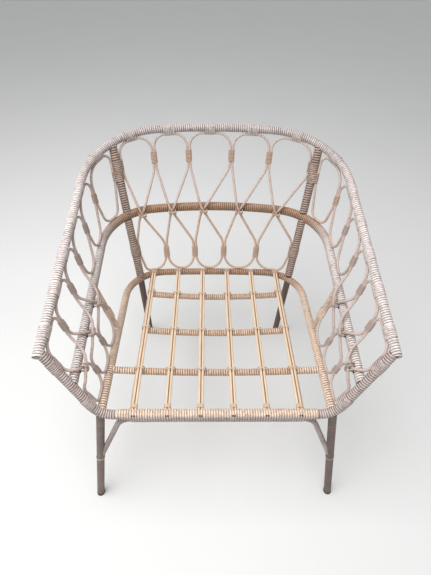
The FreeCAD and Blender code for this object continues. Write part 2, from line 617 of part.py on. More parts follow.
# Bow: cut round the front legs
front_leg_spaces = [item for item in leg_spaces if item.Label.startswith("front")]
for name, outside, inside in (("bow_rod", "bow_core", "bow_bore"), ("bow_wrap", "bow_outside", "bow_sleeve")):
    blank = bent_body(name + "_blank", bow_route, circle_section, outside, inside)
    keep(trimmed(name, blank, front_leg_spaces))

# Stringers and crossbars
stringer_x = size("stringer_x")
dip = V(0, 0, -size("stringer_dip"))
stringer_front = V(stringer_x, front_middle.y, front_middle.z) + dip
stringer_back = seat_ring.first(lambda place: place.x > stringer_x) + dip


def on_stringer(y):
    return blend(stringer_front, stringer_back, (y - stringer_front.y) / (stringer_back.y - stringer_front.y))


front_y, middle_y, back_y = size("bar_front_y"), size("bar_middle_y"), size("bar_back_y")
short = X_AXIS * size("bar_short")
bars = {"front": Bar("front", seat_ring.first(lambda place: place.y < front_y), size("bar_sag")),
        "middle": Bar("middle", on_stringer(middle_y) - short, size("bar_sag")),
        "back": Bar("back", on_stringer(back_y) - short, size("bar_sag"))}
stringer_spaces = [space("stringer_%s_space" % side, mirrored(stringer_front, hand), mirrored(stringer_back, hand),
                         "stringer_outside") for side, hand in SIDES]
front_bar_space = bent_body("crossbar_front_space", bars["front"], circle_section, "bar_outside")
bar_tubes = []
for name in bars:
    tools = [ring_space] if name == "front" else stringer_spaces
    blank = bent_body("crossbar_%s_tube_blank" % name, bars[name], circle_section, "bar_core", "bar_bore")
    bar_tubes.append(trimmed("crossbar_%s_tube" % name, blank, tools))
    blank = bent_body("crossbar_%s_wrap_blank" % name, bars[name], circle_section, "bar_outside", "bar_sleeve")
    keep(trimmed("crossbar_%s_wrap" % name, blank, tools))
keep(grouped("crossbar_tubes", bar_tubes))
rods = [straight_body("stringer_%s_rod" % side, mirrored(stringer_front, hand), mirrored(stringer_back, hand),
                      "stringer_core", "stringer_bore") for side, hand in SIDES]
stringer_tools = [lashing, front_bar_space, ring_space]
keep(trimmed("stringer_rods", grouped("stringer_rod_blanks", rods), stringer_tools))
for side, hand in SIDES:
    blank = straight_body("stringer_%s_wrap_blank" % side, mirrored(stringer_front, hand),
                          mirrored(stringer_back, hand), "stringer_outside", "stringer_sleeve")
    keep(trimmed("stringer_%s_wrap" % side, blank, stringer_tools))
doc.recompute()


# Canes and strands: round stock on straight runs joined by tangent arcs
def bent_wire(places, bend):
    """Straight runs between the places, each corner rounded by up to the bend where the runs leave room for it."""
    ways = [unit(after - before) for before, after in zip(places, places[1:])]
    runs = [(after - before).Length for before, after in zip(places, places[1:])]
    turns = [0.0] + [math.acos(max(-1.0, min(1.0, one.dot(two)))) for one, two in zip(ways, ways[1:])] + [0.0]
    cuts = [bend * math.tan(turn / 2) for turn in turns]
    shares = [1.0] * len(places)
    for number, run in enumerate(runs):
        both = cuts[number] + cuts[number + 1]
        if both > 0.98 * run:
            share = 0.98 * run / both
            shares[number], shares[number + 1] = min(shares[number], share), min(shares[number + 1], share)
    edges, last = [], places[0]
    for number in range(1, len(places) - 1):
        if turns[number] < 0.002:
            continue
        here, back, ahead = places[number], ways[number - 1], ways[number]
        cut = cuts[number] * shares[number]
        radius = cut / math.tan(turns[number] / 2)
        start, end = here - back * cut, here + ahead * cut
        middle = here + unit(ahead - back) * (radius / math.cos(turns[number] / 2) - radius)
        if (start - last).Length > 0.001:
            edges.append(Part.LineSegment(last, start).toShape())
        edges.append(Part.Arc(start, middle, end).toShape())
        last = end
    edges.append(Part.LineSegment(last, places[-1]).toShape())
    return Part.Wire(edges)


def round_stock(wire, width):
    """Round stock along a wire, and how far its volume is from section times length."""
    start, ahead = wire.Edges[0].Vertexes[0].Point, wire.Edges[0].tangentAt(wire.Edges[0].FirstParameter)
    section = Part.Wire(Part.makeCircle(width / 2, start, ahead))
    stock = wire.makePipeShell([section], True, False)
    worst.append(abs(stock.Volume / (wire.Length * math.pi * width ** 2 / 4) - 1))
    return stock


worst = []

# Seat slats: pairs of canes over the crossbars, their front ends cut at the lashing, their back ends on the ring
cane = size("slat_cane")
cane_step = X_AXIS * ((cane + size("rest_gap")) / 2)
slat_x = [(number - (SLATS - 1) / 2) * size("slat_pitch") for number in range(SLATS)]
on_bar = (size("bar_outside") + cane) / 2 + size("rest_gap")
on_ring = (size("ring_outside") + cane) / 2 + size("rest_gap")


def slat_places(x):
    """Front end, the three crossbars and the back end of a slat's middle line."""
    places = [V(x, front_middle.y, front_middle.z + size("slat_lift"))]
    for name in ("front", "middle", "back"):
        places.append(V(x, bars[name].middle.y, bars[name].height(x) + on_bar))
    rest = seat_ring.first(lambda place: place.x > abs(x))
    rest = V(x, rest.y, rest.z + on_ring)
    return places + [rest - unit(rest - places[-1]) * size("slat_short")]


for number, x in enumerate(slat_x, start=1):
    places = slat_places(x)
    canes = [round_stock(bent_wire([place + cane_step * hand for place in places], size("slat_bend")), cane)
             for hand in (-1, 1)]
    blank = solid("seat_slat_%d_blank" % number, Part.Compound(canes))
    keep(trimmed("seat_slat_%d" % number, blank, [lashing]))


# Loops between two rails. A share runs along both rails, a drop from the upper rail to the lower one.
loop_cane = size("loop_cane")
rest_gap = size("rest_gap")


class Panel:
    def __init__(self, upper, upper_ends, lower, lower_ends, hand=1):
        self.upper, self.upper_ends, self.lower, self.lower_ends = upper, upper_ends, lower, lower_ends
        self.hand = hand

    def rails(self, share):
        high = self.upper.at(self.upper_ends[0] + (self.upper_ends[1] - self.upper_ends[0]) * share)[0]
        low = self.lower.at(self.lower_ends[0] + (self.lower_ends[1] - self.lower_ends[0]) * share)[0]
        return mirrored(high, self.hand), mirrored(low, self.hand)

    def place(self, share, drop):
        high, low = self.rails(share)
        return blend(high, low, drop)

    def down(self, share):
        high, low = self.rails(share)
        return unit(low - high)

    def along(self, share, drop):
        step = 0.002
        return unit(self.place(share + step, drop) - self.place(share - step, drop))

    def upper_seat(self, share):
        """Drop at which a cane lies against the upper rail."""
        return self.stand_off(self.upper, share, 0)

    def lower_seat(self, share):
        """Drop at which a cane lies against the lower rail."""
        return 1 - self.stand_off(self.lower, share, 1)

    def stand_off(self, rail, share, drop):
        """Cane axis to rail axis, measured square to the rail, as a share of the way between the rails."""
        high, low = self.rails(share)
        along, ladder = self.along(share, drop), low - high
        square = ladder - along * ladder.dot(along)
        flat = size("mid_flat") / 2 * abs(unit(square).dot(rail.normal)) if rail.family == "mid" else 0.0
        return ((size(rail.family + "_outside") + loop_cane) / 2 + flat + rest_gap) / square.Length


class Tie:
    """Where a strand is held: to its neighbour by a winding, or to a post or strut by a binding."""

    def __init__(self, panel, share, drop, turns, post=None, axis=None):
        self.panel, self.share, self.turns, self.post = panel, share, turns, post
        self.high, self.low = axis or panel.rails(share)
        self.centre, self.down = blend(self.high, self.low, drop), unit(self.low - self.high)
        along = panel.along(share, drop)
        self.across = unit(along - self.down * along.dot(self.down))
        if post:
            self.offset = (size(post + "_outside") + loop_cane) / 2 + rest_gap
            self.half_run = (size("bind_length") + size("tie_spare")) / 2
        else:
            self.offset = (loop_cane + rest_gap) / 2
            self.half_run = (turns * size("tie_pitch") + size("tie_spare")) / 2

    def held(self, side):
        return self.centre + self.across * (self.offset * side)

    def run(self, side):
        """Upper and lower end of the straight run of the strand on one side of the tie."""
        half = self.down * self.half_run
        return [self.held(side) - half, self.held(side) + half]

    def lead(self, side, way):
        """The corner where a strand bends from its tie towards its crossing."""
        return self.held(side) + self.down * ((self.half_run + size("tie_lead")) * way)

    def head_corner(self, side):
        """The strand's line met by the line of the loop's head."""
        return self.corner(side, self.panel.upper_seat(self.share), self.panel.along(self.share, 0))

    def foot_corner(self, side):
        """The strand's line met by the line of the loop's foot."""
        return self.corner(side, self.panel.lower_seat(self.share), self.panel.along(self.share, 1))

    def corner(self, side, drop, along):
        return blend(self.high, self.low, drop) + along * (self.offset * side / along.dot(self.across))


class Loop:
    """A bent cane: its head under the upper rail, its foot on the lower rail, its ends butted in its head."""

    def __init__(self, before, after):
        self.before, self.after = before, after
        panel = before.panel
        share = (before.share + after.share) / 2
        self.head = panel.place(share, panel.upper_seat(share))
        self.along = panel.along(share, 0)
        butt, half = self.along * (size("loop_butt") / 2), self.along * (size("bind_length") / 2)
        self.leaving = [self.head + butt, self.head + half, after.head_corner(-1)] + after.run(-1)
        self.arriving = before.run(1)[::-1] + [before.head_corner(1), self.head - half, self.head - butt]

    def foot(self, before, after):
        """Corner, foot and corner, from the tie before to the tie after."""
        panel, belly = before.panel, size("loop_belly")
        share = (before.share + after.share) / 2
        middle = panel.place(share, panel.lower_seat(share))
        return [blend(middle, before.foot_corner(1), belly), middle, blend(middle, after.foot_corner(-1), belly)]

    def oval(self):
        return self.leaving + self.foot(self.before, self.after)[::-1] + self.arriving

    def eight(self, before, after, crossing):
        """The loop crosses itself on the inner face of the mid rail, at a share between the lower ties."""
        near = (size("mid_outside") + loop_cane) / 2 + rest_gap
        self.crossing = crossing
        self.spot, self.inward, self.along_rail = on_mid_rail(self.before.panel, crossing, 0)
        self.top_level = near + loop_cane + rest_gap
        strands, ways, square = [], [], self.inward.cross(self.along_rail)
        for level, start, end in ((near, self.after.lead(-1, 1), before.lead(1, -1)),
                                  (self.top_level, after.lead(-1, -1), self.before.lead(1, 1))):
            way = end - start
            way = unit(way - self.inward * way.dot(self.inward))
            ways.append(way)
            way = way * (size("cross_half") / abs(way.dot(square)))
            middle = self.spot + self.inward * level
            strands.append([start, middle - way, middle + way, end])
        self.strap_way = unit(min(ways[0] + ways[1], ways[0] - ways[1], key=lambda way: way.Length))
        below = before.run(1) + self.foot(before, after) + after.run(-1)[::-1]
        return self.leaving + strands[0] + below + strands[1] + self.arriving


def on_mid_rail(panel, share, past):
    """Point of the mid rail's axis past a share, its inward direction and its direction along the rail."""
    ends = panel.lower_ends
    spot, outward = mid_rail.at(ends[0] + (ends[1] - ends[0]) * share + past)
    inward = mirrored(outward, panel.hand) * -1
    normal = mirrored(mid_rail.normal, panel.hand)
    return mirrored(spot, panel.hand), inward, unit(normal.cross(inward))


def row_of_ties(panel, shares, drop, post_drop, turns, posts):
    """Ties from the first post to the last, with a winding at every share between them."""
    row = [Tie(panel, 0.0, post_drop, turns, posts[0])]
    row += [Tie(panel, share, drop, turns) for share in shares]
    return row + [Tie(panel, 1.0, post_drop, turns, posts[1])]


def numbered(stem, count):
    return [size("%s_%d" % (stem, number)) for number in range(1, count + 1)]


ties = {"back": [], "side": []}
loops, eights = {}, []

# Back: five figures of eight between the posts
post_top, post_mid, post_ring = size("post_top"), size("post_mid"), size("post_ring")
upper_back = Panel(top_rail, (-post_top, post_top), mid_rail, (-post_mid, post_mid))
lower_back = Panel(mid_rail, (-post_mid, post_mid), seat_ring, (-post_ring, post_ring))
upper_row = row_of_ties(upper_back, numbered("back_upper", 4), size("back_upper_drop"), size("back_post_upper"),
                        BACK_TURNS, ("post", "post"))
lower_row = row_of_ties(lower_back, numbered("back_lower", 4), size("back_lower_drop"), size("back_post_lower"),
                        BACK_TURNS, ("post", "post"))
ties["back"] += upper_row + lower_row
for number, crossing in enumerate(numbered("back_cross", 5)):
    loop = Loop(upper_row[number], upper_row[number + 1])
    loops["back_loop_%d" % (number + 1)] = (loop, loop.eight(lower_row[number], lower_row[number + 1], crossing))
    eights.append(loop)

# Sides: three ovals, then three figures of eight in front of the strut
for side, hand in SIDES:
    arm_station = top_rail.length - size("arm_overhang")
    upper_side = Panel(top_rail, (post_top, arm_station), mid_rail, (mid_from, mid_to), hand)
    lower_side = Panel(mid_rail, (mid_from, mid_to), seat_ring, (ring_from, ring_to), hand)
    shares = numbered("side_tie", 5)
    drop = size("side_upper_drop")
    upper_row = row_of_ties(upper_side, shares, drop, drop, UPPER_TURNS, ("post", "rail"))
    strut = (mirrored(strut_head, hand), mirrored(strut_foot, hand))
    drop = size("side_lower_drop")
    lower_row = [Tie(lower_side, (size("strut_top") + size("strut_low")) / 2, drop, LOWER_TURNS, "strut", strut)]
    lower_row += [Tie(lower_side, share, drop, LOWER_TURNS) for share in shares[3:]]
    lower_row += [Tie(lower_side, 1.0, drop, LOWER_TURNS, "rail")]
    ties["side"] += upper_row + lower_row
    for number, letter in enumerate("abcdef"):
        loop = Loop(upper_row[number], upper_row[number + 1])
        places = loop.oval()
        if number > 2:
            crossing = (upper_row[number].share + upper_row[number + 1].share) / 2
            places = loop.eight(lower_row[number - 3], lower_row[number - 2], crossing)
            eights.append(loop)
        loops["%s_loop_%s" % (side, letter)] = (loop, places)

for label, (loop, places) in loops.items():
    keep(solid(label, round_stock(bent_wire(places, size("loop_bend")), loop_cane)))


# Ties: each is one strand wound round two neighbouring canes
def winding(turns):
    """A wound strand in its own place: x across the two canes, z along them. Level runs joined by tilted half turns."""
    half = (loop_cane + rest_gap) / 2
    radius, pitch = (loop_cane + size("tie_strand")) / 2 + size("fit"), size("tie_pitch")
    edges = []
    for step in range(2 * turns):
        hand = 1 if step % 2 == 0 else -1
        level = (step - turns) * pitch / 2
        start, end = V(-hand * half, -hand * radius, level), V(hand * half, -hand * radius, level)
        edges.append(Part.LineSegment(start, end).toShape())
        middle = V(hand * (half + math.hypot(radius, pitch / 4)), 0, level + pitch / 4)
        edges.append(Part.Arc(end, middle, V(hand * half, hand * radius, level + pitch / 2)).toShape())
    return Part.Wire(edges)


def least_gap(wire, width, pitch):
    """Least distance between turns of a wound strand, from points along it."""
    places = wire.discretize(Distance=1.5)
    near = wire.Length / len(places)
    skip = int(2.2 * pitch / near) + int(width / near)
    least = min((one - two).Length for number, one in enumerate(places) for two in places[number + skip:])
    return least - width


wound = {}
for turns in (BACK_TURNS, UPPER_TURNS, LOWER_TURNS):
    wire = winding(turns)
    wound[turns] = round_stock(wire, size("tie_strand"))
    print("winding of %d turns: least gap %.2f" % (turns, least_gap(wire, size("tie_strand"), size("tie_pitch"))))
for name in ties:
    windings = []
    for tie in ties[name]:
        if tie.post:
            continue
        shape = wound[tie.turns].copy()
        shape.Placement = FreeCAD.Placement(tie.centre, FreeCAD.Rotation(tie.across, tie.down.cross(tie.across),
                                                                         tie.down, "XYZ"))
        windings.append(shape)
    keep(solid(name + "_ties", Part.Compound(windings)))


# Bindings: sleeves of strand over the heads of the loops and over the strands at the posts, struts and arm posts
def binding(middle, way):
    start = middle - way * (size("bind_length") / 2)
    outer = Part.makeCylinder(loop_cane / 2 + size("bind_strand"), size("bind_length"), start, way)
    return outer.cut(Part.makeCylinder(loop_cane / 2 + size("fit"), size("bind_length"), start, way))


sleeves = [binding(loop.head, loop.along) for loop, places in loops.values()]
for tie in ties["back"] + ties["side"]:
    if tie.post:
        sides = (1,) if tie.share < 0.5 else (-1,)
        sleeves += [binding(tie.held(side), tie.down) for side in sides]
blank = solid("rail_bindings_blank", Part.Compound(sleeves))
keep(trimmed("rail_bindings", blank, [top_space, front_space, grouped("post_spaces", post_spaces + strut_spaces)]))


# Crossed straps over a crossing, cut flush at the rail or bar that they are fixed to
def crossed_straps(middle, up, along, foot, level, reach, skew):
    straps = []
    for side in (1, -1):
        aside = along * reach + up.cross(along) * (skew * side)
        low, high = up * foot, up * level
        places = [middle - aside + low, middle - aside + high, middle + aside + high, middle + aside + low]
        straps.append(round_stock(bent_wire(places, size("strap_bend")), size("strap_strand")))
    return straps[0].fuse(straps[1])


strap = size("strap_strand")
reach, skew, sink = size("strap_reach"), size("strap_skew"), size("strap_sink")
straps = [crossed_straps(loop.spot, loop.inward, loop.strap_way, size("mid_outside") / 2 - sink,
                         loop.top_level + (loop_cane + strap) / 2 + rest_gap, reach, skew) for loop in eights]
keep(trimmed("crossing_ties", solid("crossing_ties_blank", Part.Compound(straps)), [mid_space]))

straps, nails = [], []
for x in slat_x:
    places = slat_places(x)
    over = (cane + strap) / 2 + 3 * rest_gap
    for name, place in zip(("front", "middle", "back"), places[1:4]):
        straps.append(crossed_straps(place, Z_AXIS, X_AXIS, -on_bar + size("bar_outside") / 2 - sink, over,
                                     reach, skew))
    rest = seat_ring.first(lambda place: place.x > abs(x))
    straps.append(crossed_straps(V(x, rest.y - size("strap_ahead"), rest.z + on_ring), Z_AXIS, X_AXIS,
                                 -on_ring + size("ring_outside") / 2 - sink, over, reach, skew))
bar_spaces = [bent_body("crossbar_%s_space" % name, bars[name], circle_section, "bar_outside")
              for name in ("middle", "back")]
keep(trimmed("slat_ties", solid("slat_ties_blank", Part.Compound(straps)),
             [grouped("bar_spaces", [front_bar_space] + bar_spaces), ring_space]))


# Nails: small heads seated on the rails and bars, and staples in the front rail
def nail(seat, up):
    return Part.makeCylinder(size("nail_head") / 2, size("nail_rise"), seat + up * rest_gap, up)


nail_step = reach + strap
for loop in eights:
    spot, inward, along = on_mid_rail(loop.before.panel, loop.crossing, nail_step)
    nails.append(nail(spot + inward * (size("mid_outside") / 2), inward))
face = V(0, -1, 1) * math.sqrt(0.5)
for x in slat_x:
    hand = math.copysign(1, x)
    for name in bars:
        if abs(x) + nail_step < stringer_x:
            spot = V(x + hand * nail_step, bars[name].middle.y, bars[name].height(x + hand * nail_step))
            nails.append(nail(spot + Z_AXIS * (size("bar_outside") / 2), Z_AXIS))
    for step in (-1, 1):
        spot = V(x + step * size("staple_gap") / 2, front_middle.y, front_middle.z)
        nails.append(nail(spot + face * (size("front_outside") / 2), face))
keep(solid("nails", Part.Compound(nails)))
print("bent canes and strands: volume off section times length by at most %.4f" % max(worst))

doc.recompute()
os.makedirs("parts", exist_ok=True)
for item in doc.Objects:
    wrong = [state for state in item.State if state in ("Invalid", "Error")]
    if wrong:
        raise RuntimeError("%s: %s" % (item.Label, wrong))
for item in nodes:
    shape = item.Shape
    if shape.isNull() or not shape.isValid() or shape.Volume <= 0:
        raise RuntimeError("no sound shape: " + item.Label)
    shape.exportStep("parts/%s.step" % item.Label)
    print("%-26s %2d solids %10.0f mm3" % (item.Label, len(shape.Solids), shape.Volume))
print("%d nodes" % len(nodes))
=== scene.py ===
import math

import bpy
import numpy as np
from mathutils import Matrix, Vector


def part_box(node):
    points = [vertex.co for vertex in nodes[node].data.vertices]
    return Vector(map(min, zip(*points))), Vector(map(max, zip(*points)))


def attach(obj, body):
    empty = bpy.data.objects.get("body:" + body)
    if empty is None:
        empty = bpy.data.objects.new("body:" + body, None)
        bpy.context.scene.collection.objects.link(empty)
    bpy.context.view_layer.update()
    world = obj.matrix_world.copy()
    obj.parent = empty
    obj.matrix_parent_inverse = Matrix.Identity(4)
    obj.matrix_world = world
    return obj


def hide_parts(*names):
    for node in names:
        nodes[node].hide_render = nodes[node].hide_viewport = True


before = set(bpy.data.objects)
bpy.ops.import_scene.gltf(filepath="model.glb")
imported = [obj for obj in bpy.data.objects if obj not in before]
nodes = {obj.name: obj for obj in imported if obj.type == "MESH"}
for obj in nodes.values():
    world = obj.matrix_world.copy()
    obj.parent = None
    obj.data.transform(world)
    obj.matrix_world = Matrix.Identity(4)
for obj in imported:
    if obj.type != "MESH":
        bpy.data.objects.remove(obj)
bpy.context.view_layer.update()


# Steel tubes: the welded skeleton inside every wrap, in dark powder coat. It shows only in the gaps between
# the turns of strand, at the open ends of the top rail and under the bindings.
class Value:
    """A number that a shader works out over the surface."""

    def __init__(self, paint, socket):
        self.paint = paint
        self.socket = socket

    def math(self, operation, *numbers):
        return self.paint.node("ShaderNodeMath", {"operation": operation}, dict(enumerate(numbers)))

    def __add__(self, other):
        return self.math("ADD", self, other)

    def __radd__(self, other):
        return self.math("ADD", other, self)

    def __sub__(self, other):
        return self.math("SUBTRACT", self, other)

    def __rsub__(self, other):
        return self.math("SUBTRACT", other, self)

    def __mul__(self, other):
        return self.math("MULTIPLY", self, other)

    def __rmul__(self, other):
        return self.math("MULTIPLY", other, self)

    def __mod__(self, other):
        return self.math("MODULO", self, other)

    def __abs__(self):
        return self.math("ABSOLUTE", self)

    def step(self, low, high):
        """0 below low, 1 above high, and smooth between them."""
        settings = {"interpolation_type": "SMOOTHSTEP"}
        sockets = {"Value": self, "From Min": low, "From Max": high}
        return self.paint.node("ShaderNodeMapRange", settings, sockets)


class Paint:
    """A finish: a material whose colour, roughness and bump are worked out from the place on the object."""

    def __init__(self, name, metallic=0.0):
        self.material = bpy.data.materials.new(name)
        self.material.use_nodes = True
        self.tree = self.material.node_tree
        self.shader = self.tree.nodes["Principled BSDF"]
        self.shader.inputs["Metallic"].default_value = metallic
        self.place = self.node("ShaderNodeTexCoord", {}, {}, "Object")
        parts = self.tree.nodes.new("ShaderNodeSeparateXYZ")
        self.tree.links.new(self.place.socket, parts.inputs[0])
        self.x, self.y, self.z = (Value(self, parts.outputs[name]) for name in "XYZ")

    def feed(self, node, sockets):
        """Each socket of the node gets a fixed number or colour, or a link to a value."""
        for name, value in sockets.items():
            if isinstance(value, Value):
                self.tree.links.new(value.socket, node.inputs[name])
            else:
                node.inputs[name].default_value = value

    def node(self, kind, settings, sockets, output=0):
        made = self.tree.nodes.new(kind)
        for name, setting in settings.items():
            setattr(made, name, setting)
        self.feed(made, sockets)
        return Value(self, made.outputs[output])

    def noise(self, scale, detail=3.0, stretch=(1, 1, 1)):
        scaled = self.node("ShaderNodeMapping", {}, {"Vector": self.place, "Scale": stretch})
        return self.node("ShaderNodeTexNoise", {}, {"Vector": scaled, "Scale": scale, "Detail": detail})

    def mix(self, share, one, other):
        """Colour one where the share is 0 and the other where it is 1."""
        one, other = (colour if isinstance(colour, Value) else (*colour, 1) for colour in (one, other))
        return self.node("ShaderNodeMix", {"data_type": "RGBA"}, {0: share, 6: one, 7: other}, 2)

    def finish(self, colour, roughness, height=None, depth=0.0):
        """The finished material. Where it has a height, that raises bumps of a depth in metres."""
        self.feed(self.shader, {"Base Color": colour, "Roughness": roughness})
        if height is not None:
            bump = self.node("ShaderNodeBump", {}, {"Height": height, "Distance": depth, "Strength": 0.6})
            self.feed(self.shader, {"Normal": bump})
        return self.material


def coat(thing, material):
    thing.data.materials.clear()
    thing.data.materials.append(material)


steel = Paint("dark_steel")
grime = steel.noise(60)
steel_colour = steel.mix(grime, (0.05, 0.036, 0.03), (0.11, 0.08, 0.066))
steel_finish = steel.finish(steel_colour, 0.6, grime, 0.0003)
for name in ("top_rail_tube", "mid_rail_tube", "seat_ring_tube", "front_frame_tube", "bow_rod", "leg_tubes",
             "back_post_tubes", "side_strut_rods", "crossbar_tubes", "stringer_rods"):
    coat(nodes[name], steel_finish)


# Top rail wrap: one flat resin strand, wound turn on turn round the hoop that is the back's top and both
# arms. Sun has bleached it to a pinkish grey. The turns touch, and the creases between them are darkened
# brown, partly for dirt and partly as painted shade.
STRAND_PITCH = 0.0060
STRAND_THICK = 0.0014
RAIL_INSIDE = 0.0096  # radius inside the winding, as for the other pieces' INSIDE
STAIN = (0.20, 0.135, 0.105)
# Brown for the strand's creases: partly dirt, partly painted shade.
CREASE_DIRT_AND_SHADE = (0.10, 0.062, 0.045)


def wrap_paint(name, colour_of, crease_dirt_and_shade=0.82):
    """Wound strand: its edges are darkened by dirt and painted crease shade, its turns differ a little in
    colour, and it has a fine grain.
    """
    paint = Paint(name)
    turns = paint.noise(150)
    grain = paint.noise(900, 2.0)
    section = paint.node("ShaderNodeTexCoord", {}, {}, "UV")
    round_strand = paint.node("ShaderNodeSeparateXYZ", {}, {0: section}, "Y")
    from_edge = abs(abs(round_strand - 0.5) - 0.25)
    colour = colour_of(paint)
    colour = paint.mix(turns.step(0.40, 0.80) * 0.6, colour, STAIN)
    # Painted shade, partly real dirt: the strand's edges darken towards brown where the turns meet in a
    # crease.
    colour = paint.mix((1 - from_edge.step(0.02, 0.22)) * crease_dirt_and_shade, colour, CREASE_DIRT_AND_SHADE)
    return paint.finish(colour, 0.55 + turns * 0.2, grain * 0.4 + turns, 0.0006)


def picked(*pieces):
    """Only these pieces are selected, and the first of them is the active one."""
    bpy.ops.object.select_all(action="DESELECT")
    for piece in pieces:
        piece.select_set(True)
    bpy.context.view_layer.objects.active = pieces[0]


def laid(piece, matrix):
    """The piece moved and turned by the matrix, with its origin still at the object's."""
    piece.matrix_world = matrix
    picked(piece)
    bpy.ops.object.transform_apply(location=True, rotation=True, scale=True)
    return piece


def axes_turn(x_axis, y_axis):
    """The turn that takes the X and Y axes to these two, which are at right angles."""
    return Matrix((x_axis, y_axis, x_axis.cross(y_axis))).transposed().to_4x4()


def strand_turn(inside, thickness, width, slant=0.09):
    """One turn of flat strand round the X axis, with this radius inside it, slanted as a winding is."""
    bpy.ops.object.select_all(action="DESELECT")
    bpy.ops.mesh.primitive_torus_add(major_segments=20, minor_segments=6, major_radius=inside + thickness / 2,
                                     minor_radius=thickness / 2)
    turn = bpy.context.object
    turn.scale = (1, 1, width / thickness)
    turn.rotation_euler = (0, math.pi / 2, slant)
    bpy.ops.object.transform_apply(location=True, rotation=True, scale=True)
    bpy.ops.object.shade_smooth()
    return turn


def repeated(turn, length, pitch):
    """The turn repeated along X, as one piece."""
    array = turn.modifiers.new("turns", "ARRAY")
    array.fit_type = "FIT_LENGTH"
    array.fit_length = length
    array.use_relative_offset = False
    array.use_constant_offset = True
    array.constant_offset_displace = (pitch, 0, 0)
    picked(turn)
    bpy.ops.object.modifier_apply(modifier=array.name)


def flat_curve(places):
    """A curve through places of its own plane."""
    data = bpy.data.curves.new("route", "CURVE")
    data.dimensions = "2D"
    spline = data.splines.new("POLY")
    spline.points.add(len(places) - 1)
    for point, (x, y) in zip(spline.points, places):
        point.co = (x, y, 0, 1)
    curve = bpy.data.objects.new("route", data)
    bpy.context.scene.collection.objects.link(curve)
    return curve


def wound_on_route(turn, places, pitch, middle, ahead):
    """The turn repeated along a flat route, which is then laid in the plane of X and the way ahead."""
    length = sum(math.dist(one, two) for one, two in zip(places, places[1:]))
    repeated(turn, length, pitch)
    route = flat_curve(places)
    bend = turn.modifiers.new("bend", "CURVE")
    bend.object = route
    bend.deform_axis = "POS_X"
    bpy.ops.object.modifier_apply(modifier=bend.name)
    bpy.data.objects.remove(route)
    return laid(turn, Matrix.Translation(middle) @ axes_turn(Vector((1, 0, 0)), Vector(ahead).normalized()))


def dressed(piece, name, slot, finish, *replaced):
    piece.name = name
    coat(piece, finish)
    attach(piece, "root")
    if replaced:
        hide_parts(*replaced)


def straight_run(start, end, count):
    """Places from start to end, without the start."""
    return [(start[0] + (end[0] - start[0]) * share, start[1] + (end[1] - start[1]) * share)
            for share in np.linspace(0, 1, count)[1:]]


def both_hands(half):
    """The right half of a route, with its mirror image before it."""
    return [(-x, y) for x, y in reversed(half[1:])] + half


def hoop_places(bow, corner, corner_x, end_x, reach):
    """A rail in its own plane, left to right: straight side, corner, shallow back curve, corner, side."""
    corner_y = math.sqrt((bow - corner) ** 2 - corner_x ** 2) - bow
    turn_in = math.asin(corner_x / (bow - corner))
    across = end_x - corner_x
    forward = -reach - corner_y
    leave = math.atan2(forward, across) + math.acos(corner / math.hypot(across, forward))
    half = [(bow * math.sin(angle), bow * (math.cos(angle) - 1)) for angle in np.linspace(0, turn_in, 30)]
    half += [(corner_x + corner * math.sin(angle), corner_y + corner * math.cos(angle))
             for angle in np.linspace(turn_in, math.pi / 2 - leave, 60)[1:]]
    half += straight_run(half[-1], (end_x, -reach), 60)
    return both_hands(half)


def route_axis(places, middle, ahead):
    """The places of a flat route in space."""
    return [Vector(middle) + Vector((x, 0, 0)) + ahead.normalized() * y for x, y in places]


def hoop_wrap(turn, back, end, bow, corner, corner_x, pitch=STRAND_PITCH, welded=0):
    """The winding of a rail round the back, and the rail's axis. It stops short of welded ends."""
    slope = Vector((0, back[1] - end[1], back[2] - end[2]))
    places = hoop_places(bow, corner, corner_x, end[0], slope.length)
    winding = wound_on_route(turn, places[welded:len(places) - welded], pitch, back, slope)
    return winding, route_axis(places, back, slope)


def bleached(paint):
    """Pinkish grey, palest on the arms: partly where the sun bleaches most, partly a painted highlight."""
    patches = paint.noise(40)
    # Partly painted highlight: the arms' shades are paler to stand for the strong light on them.
    arm_bleach_and_highlight = paint.mix(patches, (0.62, 0.535, 0.51), (0.92, 0.85, 0.82))
    back = paint.mix(patches, (0.42, 0.365, 0.352), (0.70, 0.64, 0.62))
    return paint.mix(paint.y.step(0.05, 0.30), arm_bleach_and_highlight, back)


bleached_wrap = wrap_paint("bleached_wrap", bleached, crease_dirt_and_shade=0.6)
turn = strand_turn(RAIL_INSIDE, STRAND_THICK, STRAND_PITCH)
top_wrap, top_axis = hoop_wrap(turn, back=(0, 0.3571, 0.7506), end=(0.3713, -0.3010, 0.5527),
                               bow=1.450, corner=0.209, corner_x=0.143)
dressed(top_wrap, "top_rail_winding", "pale_wrap", bleached_wrap, "top_rail_wrap")


# Rail ends: at each arm tip the resin strand is coiled inwards over the rail's end, in two rounds that
# leave an eye for the plug of the open tube.
COIL_RADII = (0.0092, 0.0066)
COIL_STRAND = 0.0015


def joined(pieces):
    picked(*pieces)
    bpy.ops.object.join()
    return pieces[0]


coils = []
for end, before in ((top_axis[0], top_axis[1]), (top_axis[-1], top_axis[-2])):
    outwards = (end - before).to_track_quat("Z", "X").to_matrix().to_4x4()
    for radius in COIL_RADII:
        bpy.ops.object.select_all(action="DESELECT")
        bpy.ops.mesh.primitive_torus_add(major_segments=28, minor_segments=8, major_radius=radius,
                                         minor_radius=COIL_STRAND)
        coil = laid(bpy.context.object, Matrix.Translation(end) @ outwards)
        bpy.ops.object.shade_smooth()
        coils.append(coil)
dressed(joined(coils), "top_rail_end_coils", "pale_wrap", bleached_wrap)


# Mid rail wrap: the same strand on an oval tube, wound until it meets the arm posts. It keeps its golden
# tan in the shelter of the back and fades towards the arms, where it also takes their painted highlight.
MID_INSIDE = 0.0091
OVAL_SIDE = 0.0065
HAIR = 0.00001  # vertices nearer than this to a turn's middle stay where they are


